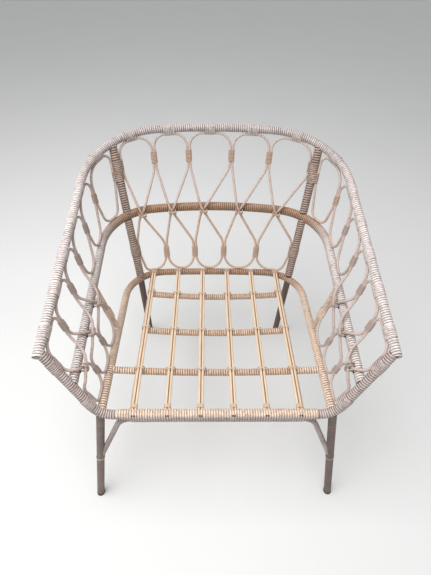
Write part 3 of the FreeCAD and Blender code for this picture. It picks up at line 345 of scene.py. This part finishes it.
def golden(paint):
    """Golden tan, deeper under the back than where the sun reaches the seat."""
    patches = paint.noise(46)
    pale = paint.mix(patches, (0.66, 0.475, 0.35), (0.97, 0.77, 0.61))
    tan = paint.mix(patches, (0.53, 0.345, 0.23), (0.86, 0.63, 0.465))
    deep = paint.mix(patches, (0.32, 0.18, 0.105), (0.54, 0.335, 0.21))
    edges = abs(paint.x).step(0.19, 0.22) + (1 - paint.y.step(-0.33, -0.28))
    return paint.mix(paint.y.step(0.04, 0.19), paint.mix(edges.step(0.0, 1.0), tan, pale), deep)


def sheltered(paint):
    """Golden tan at the back, bleached and painted with the arms' highlight towards the front."""
    return paint.mix(paint.y.step(0.10, 0.24), bleached(paint), golden(paint))


def moved(piece, chosen, offset, scale=None):
    """The vertices of a piece that are chosen by their place are scaled about the origin and moved."""
    picked(piece)
    bpy.ops.object.mode_set(mode="EDIT")
    bpy.ops.mesh.select_all(action="DESELECT")
    bpy.ops.object.mode_set(mode="OBJECT")
    for vertex in piece.data.vertices:
        vertex.select = chosen(vertex.co)
    bpy.ops.object.mode_set(mode="EDIT")
    bpy.ops.mesh.select_mode(type="VERT")
    if scale:
        bpy.ops.transform.resize(value=scale, center_override=(0, 0, 0))
    bpy.ops.transform.translate(value=offset)
    bpy.ops.object.mode_set(mode="OBJECT")


faded_wrap = wrap_paint("faded_wrap", sheltered)
turn = strand_turn(MID_INSIDE, STRAND_THICK, STRAND_PITCH)
moved(turn, lambda place: place.z > HAIR, (0, 0, OVAL_SIDE / 2))
moved(turn, lambda place: place.z < -HAIR, (0, 0, -OVAL_SIDE / 2))
mid_wrap, mid_axis = hoop_wrap(turn, back=(0, 0.276, 0.5409), end=(0.3174, -0.3116, 0.4602),
                               bow=1.250, corner=0.151, corner_x=0.167, welded=1)
dressed(mid_wrap, "mid_rail_winding", "gold_wrap", faded_wrap, "mid_rail_wrap")


# Seat ring wrap: a slightly wider resin strand on a round tube. It is still golden all round, because the
# sitter and the cushion shade it.
RING_INSIDE = 0.0091
RING_PITCH = 0.0068
golden_wrap = wrap_paint("golden_wrap", golden)
turn = strand_turn(RING_INSIDE, STRAND_THICK, RING_PITCH)
ring_wrap, ring_axis = hoop_wrap(turn, back=(0, 0.1977, 0.3452), end=(0.2653, -0.3280, 0.3815),
                                 bow=3.000, corner=0.1166, corner_x=0.150, pitch=RING_PITCH, welded=1)
dressed(ring_wrap, "seat_ring_winding", "gold_wrap", golden_wrap, "seat_ring_wrap")


# Front frame wrap: the resin strand runs up one arm post, along the front rail and up the other arm post,
# in turns that touch. Rain has washed it out to a patchy pinkish grey.
FRONT = Vector((0, -0.3296, 0.374))
FRONT_CORNER_X = 0.2697
FRONT_BEND = 0.055
ARM_TIP = Vector((0.3705, -0.2915, 0.556))


def bracket_places(corner_x, bend, end_x, reach):
    """A straight middle with a bend and a straight run at each end, left to right."""
    turning = math.atan2(reach, end_x - corner_x)
    cut = bend * math.tan(turning / 2)
    half = [(share * (corner_x - cut), 0.0) for share in np.linspace(0, 1, 40)]
    half += [(corner_x - cut + bend * math.sin(angle), bend * (1 - math.cos(angle)))
             for angle in np.linspace(0, turning, 24)[1:]]
    half += straight_run(half[-1], (end_x, reach), 40)
    return both_hands(half)


def patchy(scale, dark, light):
    """A colour for a wrap, in patches between a dark and a light shade."""
    return lambda paint: paint.mix(paint.noise(scale), dark, light)


weathered = patchy(40, (0.38, 0.30, 0.275), (0.74, 0.65, 0.62))
arm_wrap = wrap_paint("arm_wrap", weathered)
rise = Vector((0, ARM_TIP.y - FRONT.y, ARM_TIP.z - FRONT.z))
places = bracket_places(FRONT_CORNER_X, FRONT_BEND, ARM_TIP.x, rise.length)
front_axis = route_axis(places, FRONT, rise)
turn = strand_turn(RAIL_INSIDE, STRAND_THICK, STRAND_PITCH)
front_wrap = wound_on_route(turn, places[1:-1], STRAND_PITCH, FRONT, rise)
dressed(front_wrap, "front_frame_winding", "pale_wrap", arm_wrap, "front_frame_wrap")


# Front lashing: a second layer of resin strand on the front rail. Between the bow's bends each turn also
# goes round the bow, which it binds to the rail. Its top is golden, its face is weathered.
BOW_DROP = 0.0180
BOW_SHARE = 0.66  # each turn narrows to this much of its size on the bow's side
BELT_HALF = 0.198
LASHING_HALF = 0.232
LASH_INSIDE = 0.0110
LASH_THICK = 0.0016
LASH_SLANT = 0.05


def straight_turns(turn, start, end, pitch):
    """The turn repeated from start to end."""
    repeated(turn, (end - start).length, pitch)
    along = (end - start).to_track_quat("X", "Z").to_matrix().to_4x4()
    return laid(turn, Matrix.Translation(start) @ along)


def on_front_rail(x):
    return FRONT + Vector((x, 0, 0))


def golden_on_top(paint):
    """Golden where the strand faces up and back, weathered on the front."""
    facing_up = (paint.z + paint.y * 0.6).step(0.1730, 0.1815)
    return paint.mix(facing_up, weathered(paint), golden(paint))


lashing_wrap = wrap_paint("weathered_wrap", golden_on_top, crease_dirt_and_shade=0.6)
turn = strand_turn(LASH_INSIDE, LASH_THICK, STRAND_PITCH, LASH_SLANT)
moved(turn, lambda place: place.z < -HAIR, (0, 0, -BOW_DROP), (1, BOW_SHARE, BOW_SHARE))
lashing = [straight_turns(turn, on_front_rail(-BELT_HALF), on_front_rail(BELT_HALF), STRAND_PITCH)]
for hand in (-1, 1):
    turn = strand_turn(LASH_INSIDE, LASH_THICK, STRAND_PITCH, LASH_SLANT)
    start = on_front_rail(hand * (BELT_HALF + STRAND_PITCH))
    lashing.append(straight_turns(turn, start, on_front_rail(hand * LASHING_HALF), STRAND_PITCH))
dressed(joined(lashing), "front_rail_lashing", "pale_wrap", lashing_wrap, "front_lashing")


# Bow wrap: a thin steel rod hangs under the front rail, and its two bent ends prop the front legs. It is
# wound in a narrower strand, with a little room between the turns.
BOW_INSIDE = 0.0053
BOW_CORNER_X = 0.2245
BOW_BEND = 0.040
THIN_WIDTH = 0.0052
THIN_PITCH = 0.0056
bow_middle = FRONT - Vector((0, 0, BOW_DROP))
bow_end = Vector((0.2937, -0.3426, 0.190))
fall = Vector((0, bow_end.y - bow_middle.y, bow_end.z - bow_middle.z))
places = bracket_places(BOW_CORNER_X, BOW_BEND, bow_end.x, fall.length)
turn = strand_turn(BOW_INSIDE, STRAND_THICK, THIN_WIDTH)
bow_wrap = wound_on_route(turn, places, THIN_PITCH, bow_middle, fall)
dressed(bow_wrap, "bow_winding", "pale_wrap", arm_wrap, "bow_wrap")


# Legs: splayed steel tubes in fine resin strand, dulled to a mauve brown by dirt from the ground. Each
# winding follows the axis of its own leg, and ends just short of the glide.
LEG_INSIDE = 0.0086
LEG_WIDTH = 0.0054
LEG_PITCH = 0.0058
END_INSET = 0.6  # of the strand's width
MERGE_DISTANCE = 0.00001


def merged_copy(node):
    """A copy of a CAD node's object, in which vertices at the same place are one."""
    copy = nodes[node].copy()
    copy.data = nodes[node].data.copy()
    copy.parent = None
    copy.hide_viewport = False
    copy.hide_render = False
    bpy.context.scene.collection.objects.link(copy)
    picked(copy)
    bpy.ops.object.mode_set(mode="EDIT")
    bpy.ops.mesh.select_all(action="SELECT")
    bpy.ops.mesh.remove_doubles(threshold=MERGE_DISTANCE)
    bpy.ops.mesh.customdata_custom_splitnormals_clear()
    bpy.ops.object.mode_set(mode="OBJECT")
    return copy


def loose_parts(node):
    """The separate solids of a CAD node, as merged copies."""
    picked(merged_copy(node))
    bpy.ops.object.mode_set(mode="EDIT")
    bpy.ops.mesh.separate(type="LOOSE")
    bpy.ops.object.mode_set(mode="OBJECT")
    return list(bpy.context.selected_objects)


def members(node):
    """Both ends of the axis of each straight member of a CAD node, read from its own mesh."""
    found = []
    for part in loose_parts(node):
        places = np.array([vertex.co for vertex in part.data.vertices])
        middle = (places.max(0) + places.min(0)) / 2
        spread = np.cov((places - places.mean(0)).T)
        axis = np.linalg.eigh(spread)[1][:, 2]
        along = (places - middle) @ axis
        found.append((Vector(middle + axis * along.min()), Vector(middle + axis * along.max())))
        bpy.data.objects.remove(part)
    return found


def member_winding(node, inside, thickness, width, pitch, slant=0.09):
    """The winding of a node's straight members, its first and last turns just inside their ends."""
    pieces = []
    for start, end in members(node):
        inset = (end - start).normalized() * width * END_INSET
        turn = strand_turn(inside, thickness, width, slant)
        pieces.append(straight_turns(turn, start + inset, end - inset, pitch))
    return joined(pieces)


leg_wrap = wrap_paint("leg_wrap", patchy(40, (0.112, 0.083, 0.073), (0.34, 0.27, 0.247)))
shaded_leg_wrap = wrap_paint("shaded_leg_wrap", patchy(40, (0.075, 0.05, 0.04), (0.145, 0.10, 0.08)))
for end, finish in (("front", leg_wrap), ("back", shaded_leg_wrap)):
    for side in ("left", "right"):
        node = "%s_leg_%s_wrap" % (end, side)
        winding = member_winding(node, LEG_INSIDE, STRAND_THICK, LEG_WIDTH, LEG_PITCH)
        dressed(winding, "%s_leg_%s_winding" % (end, side), "leg_wrap", finish, node)


# Bow ties: where each end of the bow meets its front leg, two turns of the arms' pale resin strand round
# the leg hold it there.
BOW_TIE_INSIDE = 0.0098
BOW_TIE_WIDTH = 0.0036
bow_ties = []
for start, end in members("front_leg_left_wrap") + members("front_leg_right_wrap"):
    middle = start.lerp(end, (bow_end.z - start.z) / (end.z - start.z))
    half = (end - start).normalized() * BOW_TIE_WIDTH / 2
    turn = strand_turn(BOW_TIE_INSIDE, STRAND_THICK, BOW_TIE_WIDTH, slant=0.2)
    bow_ties.append(straight_turns(turn, middle - half, middle + half, BOW_TIE_WIDTH))
dressed(joined(bow_ties), "bow_end_ties", "tie_strand", arm_wrap)


# Back posts: steel tubes in a coarse half-round strand, brown with a dark gap between its ribs, which painted
# shade and dirt in the creases make darker. They carry the top rail from the seat ring, past the mid rail.
POST_INSIDE = 0.0096
RIB_THICK = 0.0026
RIB_WIDTH = 0.0064
RIB_PITCH = 0.0067
# Its creases are darkened at full strength: painted shade, partly dirt.
post_wrap = wrap_paint("post_wrap", patchy(60, (0.25, 0.17, 0.135), (0.56, 0.44, 0.37)), crease_dirt_and_shade=1.0)
for side in ("left", "right"):
    node = "back_post_%s_wrap" % side
    winding = member_winding(node, POST_INSIDE, RIB_THICK, RIB_WIDTH, RIB_PITCH, slant=0.06)
    dressed(winding, "back_post_%s_winding" % side, "brown_wrap", post_wrap, node)


# Side struts and stringers: thin steel rods between the rails and under the outer slats, in the bow's
# narrow strand, still golden.
STRUT_INSIDE = 0.0056
STRINGER_INSIDE = 0.0048
for member, inside in (("side_strut", STRUT_INSIDE), ("stringer", STRINGER_INSIDE)):
    for side in ("left", "right"):
        node = "%s_%s_wrap" % (member, side)
        winding = member_winding(node, inside, STRAND_THICK, THIN_WIDTH, THIN_PITCH)
        dressed(winding, "%s_%s_winding" % (member, side), "gold_wrap", golden_wrap, node)


# Crossbars: three steel tubes under the slats, each with a slight sag in its middle, wound in golden
# strand. The sag is read from the CAD wrap's own box.
BAR_INSIDE = 0.0076
BAR_OUTSIDE = 0.009
for name in ("front", "middle", "back"):
    node = "crossbar_%s_wrap" % name
    low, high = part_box(node)
    half = (high.x - low.x) / 2
    sag = high.z - low.z - 2 * BAR_OUTSIDE
    bow = (half ** 2 + sag ** 2) / (2 * sag)
    opening = math.asin(half / bow)
    places = [(bow * math.sin(angle), bow * (1 - math.cos(angle)))
              for angle in np.linspace(-opening, opening, 80)]
    middle = Vector((0, (low.y + high.y) / 2, low.z + BAR_OUTSIDE))
    turn = strand_turn(BAR_INSIDE, STRAND_THICK, STRAND_PITCH)
    winding = wound_on_route(turn, places, STRAND_PITCH, middle, (0, 0, 1))
    dressed(winding, "crossbar_%s_winding" % name, "gold_wrap", golden_wrap, node)


# Loops: bent canes of solid resin, bound to the rails at their heads and feet. The weather has greyed them
# to a pinkish tan, and low in the back they are still golden.
loop_paint = Paint("loop_cane")
fibre = loop_paint.noise(340, 4.0, (1, 1, 0.12))
golden_share = (1 - loop_paint.z.step(0.46, 0.66)) * loop_paint.y.step(0.05, 0.20)
colour = loop_paint.mix(golden_share, (0.43, 0.33, 0.29), (0.48, 0.31, 0.20))
colour = loop_paint.mix(loop_paint.noise(22) * 0.5, colour, (0.66, 0.56, 0.51))
colour = loop_paint.mix(fibre.step(0.50, 0.72) * 0.6, colour, (0.17, 0.10, 0.075))
loop_finish = loop_paint.finish(colour, 0.42 + fibre * 0.25, fibre, 0.0004)
for name in nodes:
    if "_loop_" in name:
        coat(nodes[name], loop_finish)


# Seat slats: paired resin canes in cream, tied down to the bars, with painted brown shade along the groove
# where the two of a pair touch. Each cane swells a little over its modelled size, as far as its ties let it.
SLAT_COUNT = 6
SLAT_PITCH = 0.0764
SWELL = 0.0006
END_DEPTH = 0.004
SLAT_BEYOND = 0.02


def swollen(piece, swell):
    """The piece with its skin moved outwards."""
    picked(piece)
    bpy.ops.object.mode_set(mode="EDIT")
    bpy.ops.mesh.select_all(action="SELECT")
    bpy.ops.transform.shrink_fatten(value=swell)
    bpy.ops.object.mode_set(mode="OBJECT")


def slat_end(slat, middle_x, edge):
    """Two places on the axis of a slat's pair: at the end by this edge, and further in."""
    places = [vertex.co for vertex in slat.data.vertices]
    near = [place for place in places if abs(place.y - edge) < END_DEPTH]
    beyond = [place for place in places if abs(place.y - edge) > SLAT_BEYOND]
    reach = min(abs(place.y - edge) for place in beyond) + END_DEPTH
    far = [place for place in beyond if abs(place.y - edge) < reach]
    return [Vector((middle_x, *(sum(place[axis] for place in group) / len(group) for axis in (1, 2))))
            for group in (near, far)]


slat_paint = Paint("slat_cane")
fibre = slat_paint.noise(420, 4.0, (1, 0.08, 1))
across = (slat_paint.x + SLAT_COUNT / 2 * SLAT_PITCH) % SLAT_PITCH - SLAT_PITCH / 2
# Painted shade: a dark brown line down the middle of each pair, where the two canes meet.
groove_shade = 1 - abs(across).step(0.0007, 0.0019)
colour = slat_paint.mix(fibre, (0.50, 0.36, 0.24), (0.84, 0.67, 0.50))
colour = slat_paint.mix(groove_shade * 0.9, colour, (0.17, 0.085, 0.045))
slat_finish = slat_paint.finish(colour, 0.38, fibre, 0.0003)
slat_ends = []
for number in range(1, SLAT_COUNT + 1):
    node = "seat_slat_%d" % number
    middle_x = (number - (SLAT_COUNT + 1) / 2) * SLAT_PITCH
    slat = merged_copy(node)
    swollen(slat, SWELL)
    moved(slat, lambda place: place.x > middle_x, (SWELL / 2, 0, 0))
    moved(slat, lambda place: place.x < middle_x, (-SWELL / 2, 0, 0))
    bpy.ops.object.shade_smooth_by_angle(angle=math.radians(50))
    low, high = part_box(node)
    slat_ends += [slat_end(slat, middle_x, low.y), slat_end(slat, middle_x, high.y)]
    dressed(slat, node + "_canes", "slat_cane", slat_finish, node)


# Loop ties: five to nine turns of thin resin strand hold the loops to each other, to the posts and to the
# struts. They are drawn tight, so that each is pressed a little into the canes that it holds.
TIGHTENED = (0.88, 0.88, 0.97)
TRIANGLES_KEPT = 0.45
GREY_STRAND = ((0.24, 0.17, 0.14), (0.52, 0.42, 0.37))
TAN_STRAND = ((0.28, 0.18, 0.12), (0.60, 0.44, 0.33))


def tie_paint(name, sides, back):
    """Tie strand in a dark and a light shade of one colour at the sides, and of another at the back."""
    paint = Paint(name)
    fibre = paint.noise(500)
    colour = paint.mix(paint.y.step(0.05, 0.20), paint.mix(fibre, *sides), paint.mix(fibre, *back))
    return paint.finish(colour, 0.5, fibre, 0.0003)


def box_middle(piece):
    places = np.array([vertex.co for vertex in piece.data.vertices])
    return Vector((places.max(0) + places.min(0)) / 2)


def resized(piece, scale):
    """The piece scaled about the middle of its own box."""
    middle = box_middle(piece)
    picked(piece)
    bpy.ops.object.mode_set(mode="EDIT")
    bpy.ops.mesh.select_all(action="SELECT")
    bpy.ops.transform.resize(value=scale, center_override=middle)
    bpy.ops.object.mode_set(mode="OBJECT")


loop_tie_finish = tie_paint("loop_tie_strand", GREY_STRAND, TAN_STRAND)
for name in ("back_ties", "side_ties"):
    ties = loose_parts(name)
    for tie in ties:
        resized(tie, TIGHTENED)
        bpy.ops.object.shade_smooth()
    tied = joined(ties)
    thin = tied.modifiers.new("thin", "DECIMATE")
    thin.ratio = TRIANGLES_KEPT
    bpy.ops.object.modifier_apply(modifier=thin.name)
    dressed(tied, name + "_turns", "tie_strand", loop_tie_finish, name)


# Crossed straps: two turns of the same strand cross over each place where a loop crosses the mid rail, and
# where a slat lies on a bar or on the seat ring. Those on the seat are cream at the front and tan at the
# back.
CROSSING_SWELL = 0.0006
SLAT_TIE_SWELL = 0.0003
PALE_STRAND = ((0.40, 0.28, 0.19), (0.76, 0.59, 0.45))
slat_tie_finish = tie_paint("slat_tie_strand", PALE_STRAND, TAN_STRAND)
for name, swell, finish in (("crossing_ties", CROSSING_SWELL, loop_tie_finish),
                            ("slat_ties", SLAT_TIE_SWELL, slat_tie_finish)):
    straps = merged_copy(name)
    swollen(straps, swell)
    bpy.ops.object.shade_smooth()
    dressed(straps, name + "_straps", "tie_strand", finish, name)


# Bindings: where the head or foot of a loop lies along a rail or a post, turns of resin strand go round
# both. Over the rail the turns are large, and they narrow to the cane on the other side.
CANE_RADIUS = 0.0035
BINDING_PITCH = 0.0048
BINDING_THICK = 0.0012
BINDING_BITE = 0.0003  # how far the turns press into the winding
MID_OUTSIDE = 0.0115
post_axes = [start.lerp(end, share) for side in ("left", "right")
             for start, end in members("back_post_%s_wrap" % side) for share in np.linspace(0, 1, 60)]
carriers = {"top_rail": (top_axis, RAIL_INSIDE + STRAND_THICK, bleached_wrap),
            "mid_rail": (mid_axis, MID_OUTSIDE, faded_wrap),
            "seat_ring": (ring_axis, RING_INSIDE + STRAND_THICK, golden_wrap),
            "front_frame": (front_axis, RAIL_INSIDE + STRAND_THICK, arm_wrap),
            "back_post": (post_axes, POST_INSIDE + RIB_THICK, post_wrap)}


def binding(start, end):
    """The name of the rail or post that a cane lies along from start to end, and the turns round both."""
    middle = (start + end) / 2
    nearest = {name: min(axis, key=lambda place: (place - middle).length)
               for name, (axis, _, _) in carriers.items()}
    carrier = min(carriers, key=lambda name: (nearest[name] - middle).length - carriers[name][1])
    radius = carriers[carrier][1]
    along = (end - start).normalized()
    out = middle - nearest[carrier]
    out -= along * out.dot(along)
    turn = strand_turn(radius - BINDING_BITE, BINDING_THICK, BINDING_PITCH, slant=0.05)
    narrowing = (CANE_RADIUS + BINDING_BITE) / radius
    moved(turn, lambda place: place.z < -HAIR, (0, 0, -out.length), (1, narrowing, narrowing))
    repeated(turn, (end - start).length, BINDING_PITCH)
    up = -out.normalized()
    return carrier, laid(turn, Matrix.Translation(start - out) @ axes_turn(along, up.cross(along)))


bindings = [binding(start, end) for start, end in members("rail_bindings")]
for name, (_, _, finish) in carriers.items():
    held = [turns for carrier, turns in bindings if carrier == name]
    if held:
        dressed(joined(held), name + "_binding_turns", "tie_strand", finish, "rail_bindings")


# Slat ends: three turns of thin resin strand pinch each pair of canes just before it reaches the front rail
# or the seat ring. They go round both canes.
PINCH_INSIDE = 0.0038
PINCH_THICK = 0.0013
PINCH_PITCH = 0.0034
PINCH_LENGTH = 0.0095
PAIR_HALF = 0.0034
pinches = []
for end, inside in slat_ends:
    turn = strand_turn(PINCH_INSIDE, PINCH_THICK, PINCH_PITCH, slant=0.08)
    moved(turn, lambda place: place.y > HAIR, (0, PAIR_HALF, 0))
    moved(turn, lambda place: place.y < -HAIR, (0, -PAIR_HALF, 0))
    repeated(turn, PINCH_LENGTH, PINCH_PITCH)
    way = (inside - end).normalized()
    pinches.append(laid(turn, Matrix.Translation(end + way * END_DEPTH) @ axes_turn(way, Vector((1, 0, 0)))))
dressed(joined(pinches), "slat_end_turns", "tie_strand", slat_tie_finish)


# Nails: small steel heads, rusted dark. They fix the crossed straps to the mid rail and the slats to the
# bars, there in the groove of each pair, just in front of its strap. In the front rail they are the ends of
# staples. Those on the mid rail are enlarged and those on the slats are set where the groove is darkest, so
# that they also stand as painted shade in the holes and the groove there.
MID_RAIL_LOWEST = 0.45
FRONT_RAIL_BACK = -0.3
MID_NAIL_AND_SHADE_SWELL = 1.6
NAIL_FORWARD = 0.0068
NAIL_RISE = 0.0062
nail_paint = Paint("nail_steel", 0.7)
nail_colour = nail_paint.mix(nail_paint.noise(300), (0.02, 0.015, 0.012), (0.06, 0.04, 0.03))
nail_finish = nail_paint.finish(nail_colour, 0.45)
nails = loose_parts("nails")
for nail in nails:
    x, y, z = box_middle(nail)
    picked(nail)
    # Partly painted shade: these heads are enlarged so that they also darken the holes where the cane ends go
    # in.
    if z > MID_RAIL_LOWEST:
        resized(nail, (MID_NAIL_AND_SHADE_SWELL, MID_NAIL_AND_SHADE_SWELL, MID_NAIL_AND_SHADE_SWELL))
    # Partly painted shade: these heads are moved into the groove just in front of each strap, where it is
    # dark.
    elif y > FRONT_RAIL_BACK:
        slat_x = (round(x / SLAT_PITCH + 0.5) - 0.5) * SLAT_PITCH
        moved(nail, lambda place: True, (slat_x - x, -NAIL_FORWARD, NAIL_RISE))
    bpy.ops.object.shade_smooth_by_angle(angle=math.radians(40))
dressed(joined(nails), "nail_heads", "nail_steel", nail_finish, "nails")


# Glides and plugs: black plastic caps under the four feet, and brown plastic plugs pushed into the two open
# ends of the top rail.
def scuffed(name, scale, dark, light):
    """Plastic with scuffs of its own scale."""
    paint = Paint(name)
    scuffs = paint.noise(scale, 4.0)
    return paint.finish(paint.mix(scuffs, dark, light), 0.6, scuffs, 0.0004)


coat(nodes["foot_glides"], scuffed("black_plastic", 120, (0.012, 0.012, 0.013), (0.05, 0.048, 0.046)))
coat(nodes["arm_plugs"], scuffed("plug_plastic", 160, (0.15, 0.10, 0.08), (0.36, 0.27, 0.23)))


# Floor: plain and pale, a little uneven in shade. It is there for the picture only and isn't part of the
# chair.
FLOOR_SIZE = 14
bpy.ops.object.select_all(action="DESELECT")
bpy.ops.mesh.primitive_plane_add(size=FLOOR_SIZE)
floor = bpy.context.object
floor.name = "floor"
floor_paint = Paint("floor")
floor_colour = floor_paint.mix(floor_paint.noise(3), (0.74, 0.74, 0.73), (0.78, 0.78, 0.77))
coat(floor, floor_paint.finish(floor_colour, 0.9))


# Light: an even grey sky, which looks white to the camera and in reflections, and one high wide lamp in
# front of the chair and to its left.
SKY = (0.45, 0.455, 0.465, 1)
LAMP_PLACE = (-0.7, -0.6, 2.7)
LAMP_AIM = (0, 0, 0.4)
world = bpy.data.worlds.new("sky")
bpy.context.scene.world = world
world.use_nodes = True
tree = world.node_tree
light_path = tree.nodes.new("ShaderNodeLightPath")
seen = tree.nodes.new("ShaderNodeMath")
seen.operation = "MAXIMUM"
tree.links.new(light_path.outputs["Is Camera Ray"], seen.inputs[0])
tree.links.new(light_path.outputs["Is Glossy Ray"], seen.inputs[1])
sky = tree.nodes.new("ShaderNodeMix")
sky.data_type = "RGBA"
sky.inputs[6].default_value = SKY
sky.inputs[7].default_value = (1, 1, 1, 1)
tree.links.new(seen.outputs[0], sky.inputs[0])
tree.links.new(sky.outputs[2], tree.nodes["Background"].inputs["Color"])

bpy.ops.object.light_add(type="AREA", location=LAMP_PLACE)
lamp = bpy.context.object
lamp.data.shape = "DISK"
lamp.data.size = 2.2
lamp.data.energy = 78
lamp.rotation_euler = (Vector(LAMP_AIM) - lamp.location).to_track_quat("-Z", "Y").to_euler()


# Camera: held in front of the chair at a standing person's chest height, and tilted down as for the photo.
CAMERA_PLACE = (-0.026, -0.846, 1.271)
PITCH = math.radians(46.3)
YAW = math.radians(-1.67)
ROLL = math.radians(1.37)
camera_data = bpy.data.cameras.new("camera")
camera_data.sensor_width = 36
camera_data.lens = 27.05
camera = bpy.data.objects.new("camera", camera_data)
bpy.context.scene.collection.objects.link(camera)
camera.matrix_world = (Matrix.Translation(CAMERA_PLACE) @ Matrix.Rotation(YAW, 4, "Z")
                       @ Matrix.Rotation(PITCH, 4, "X") @ Matrix.Rotation(ROLL, 4, "Z"))
bpy.context.scene.camera = camera
bpy.context.scene.view_settings.view_transform = "Standard"
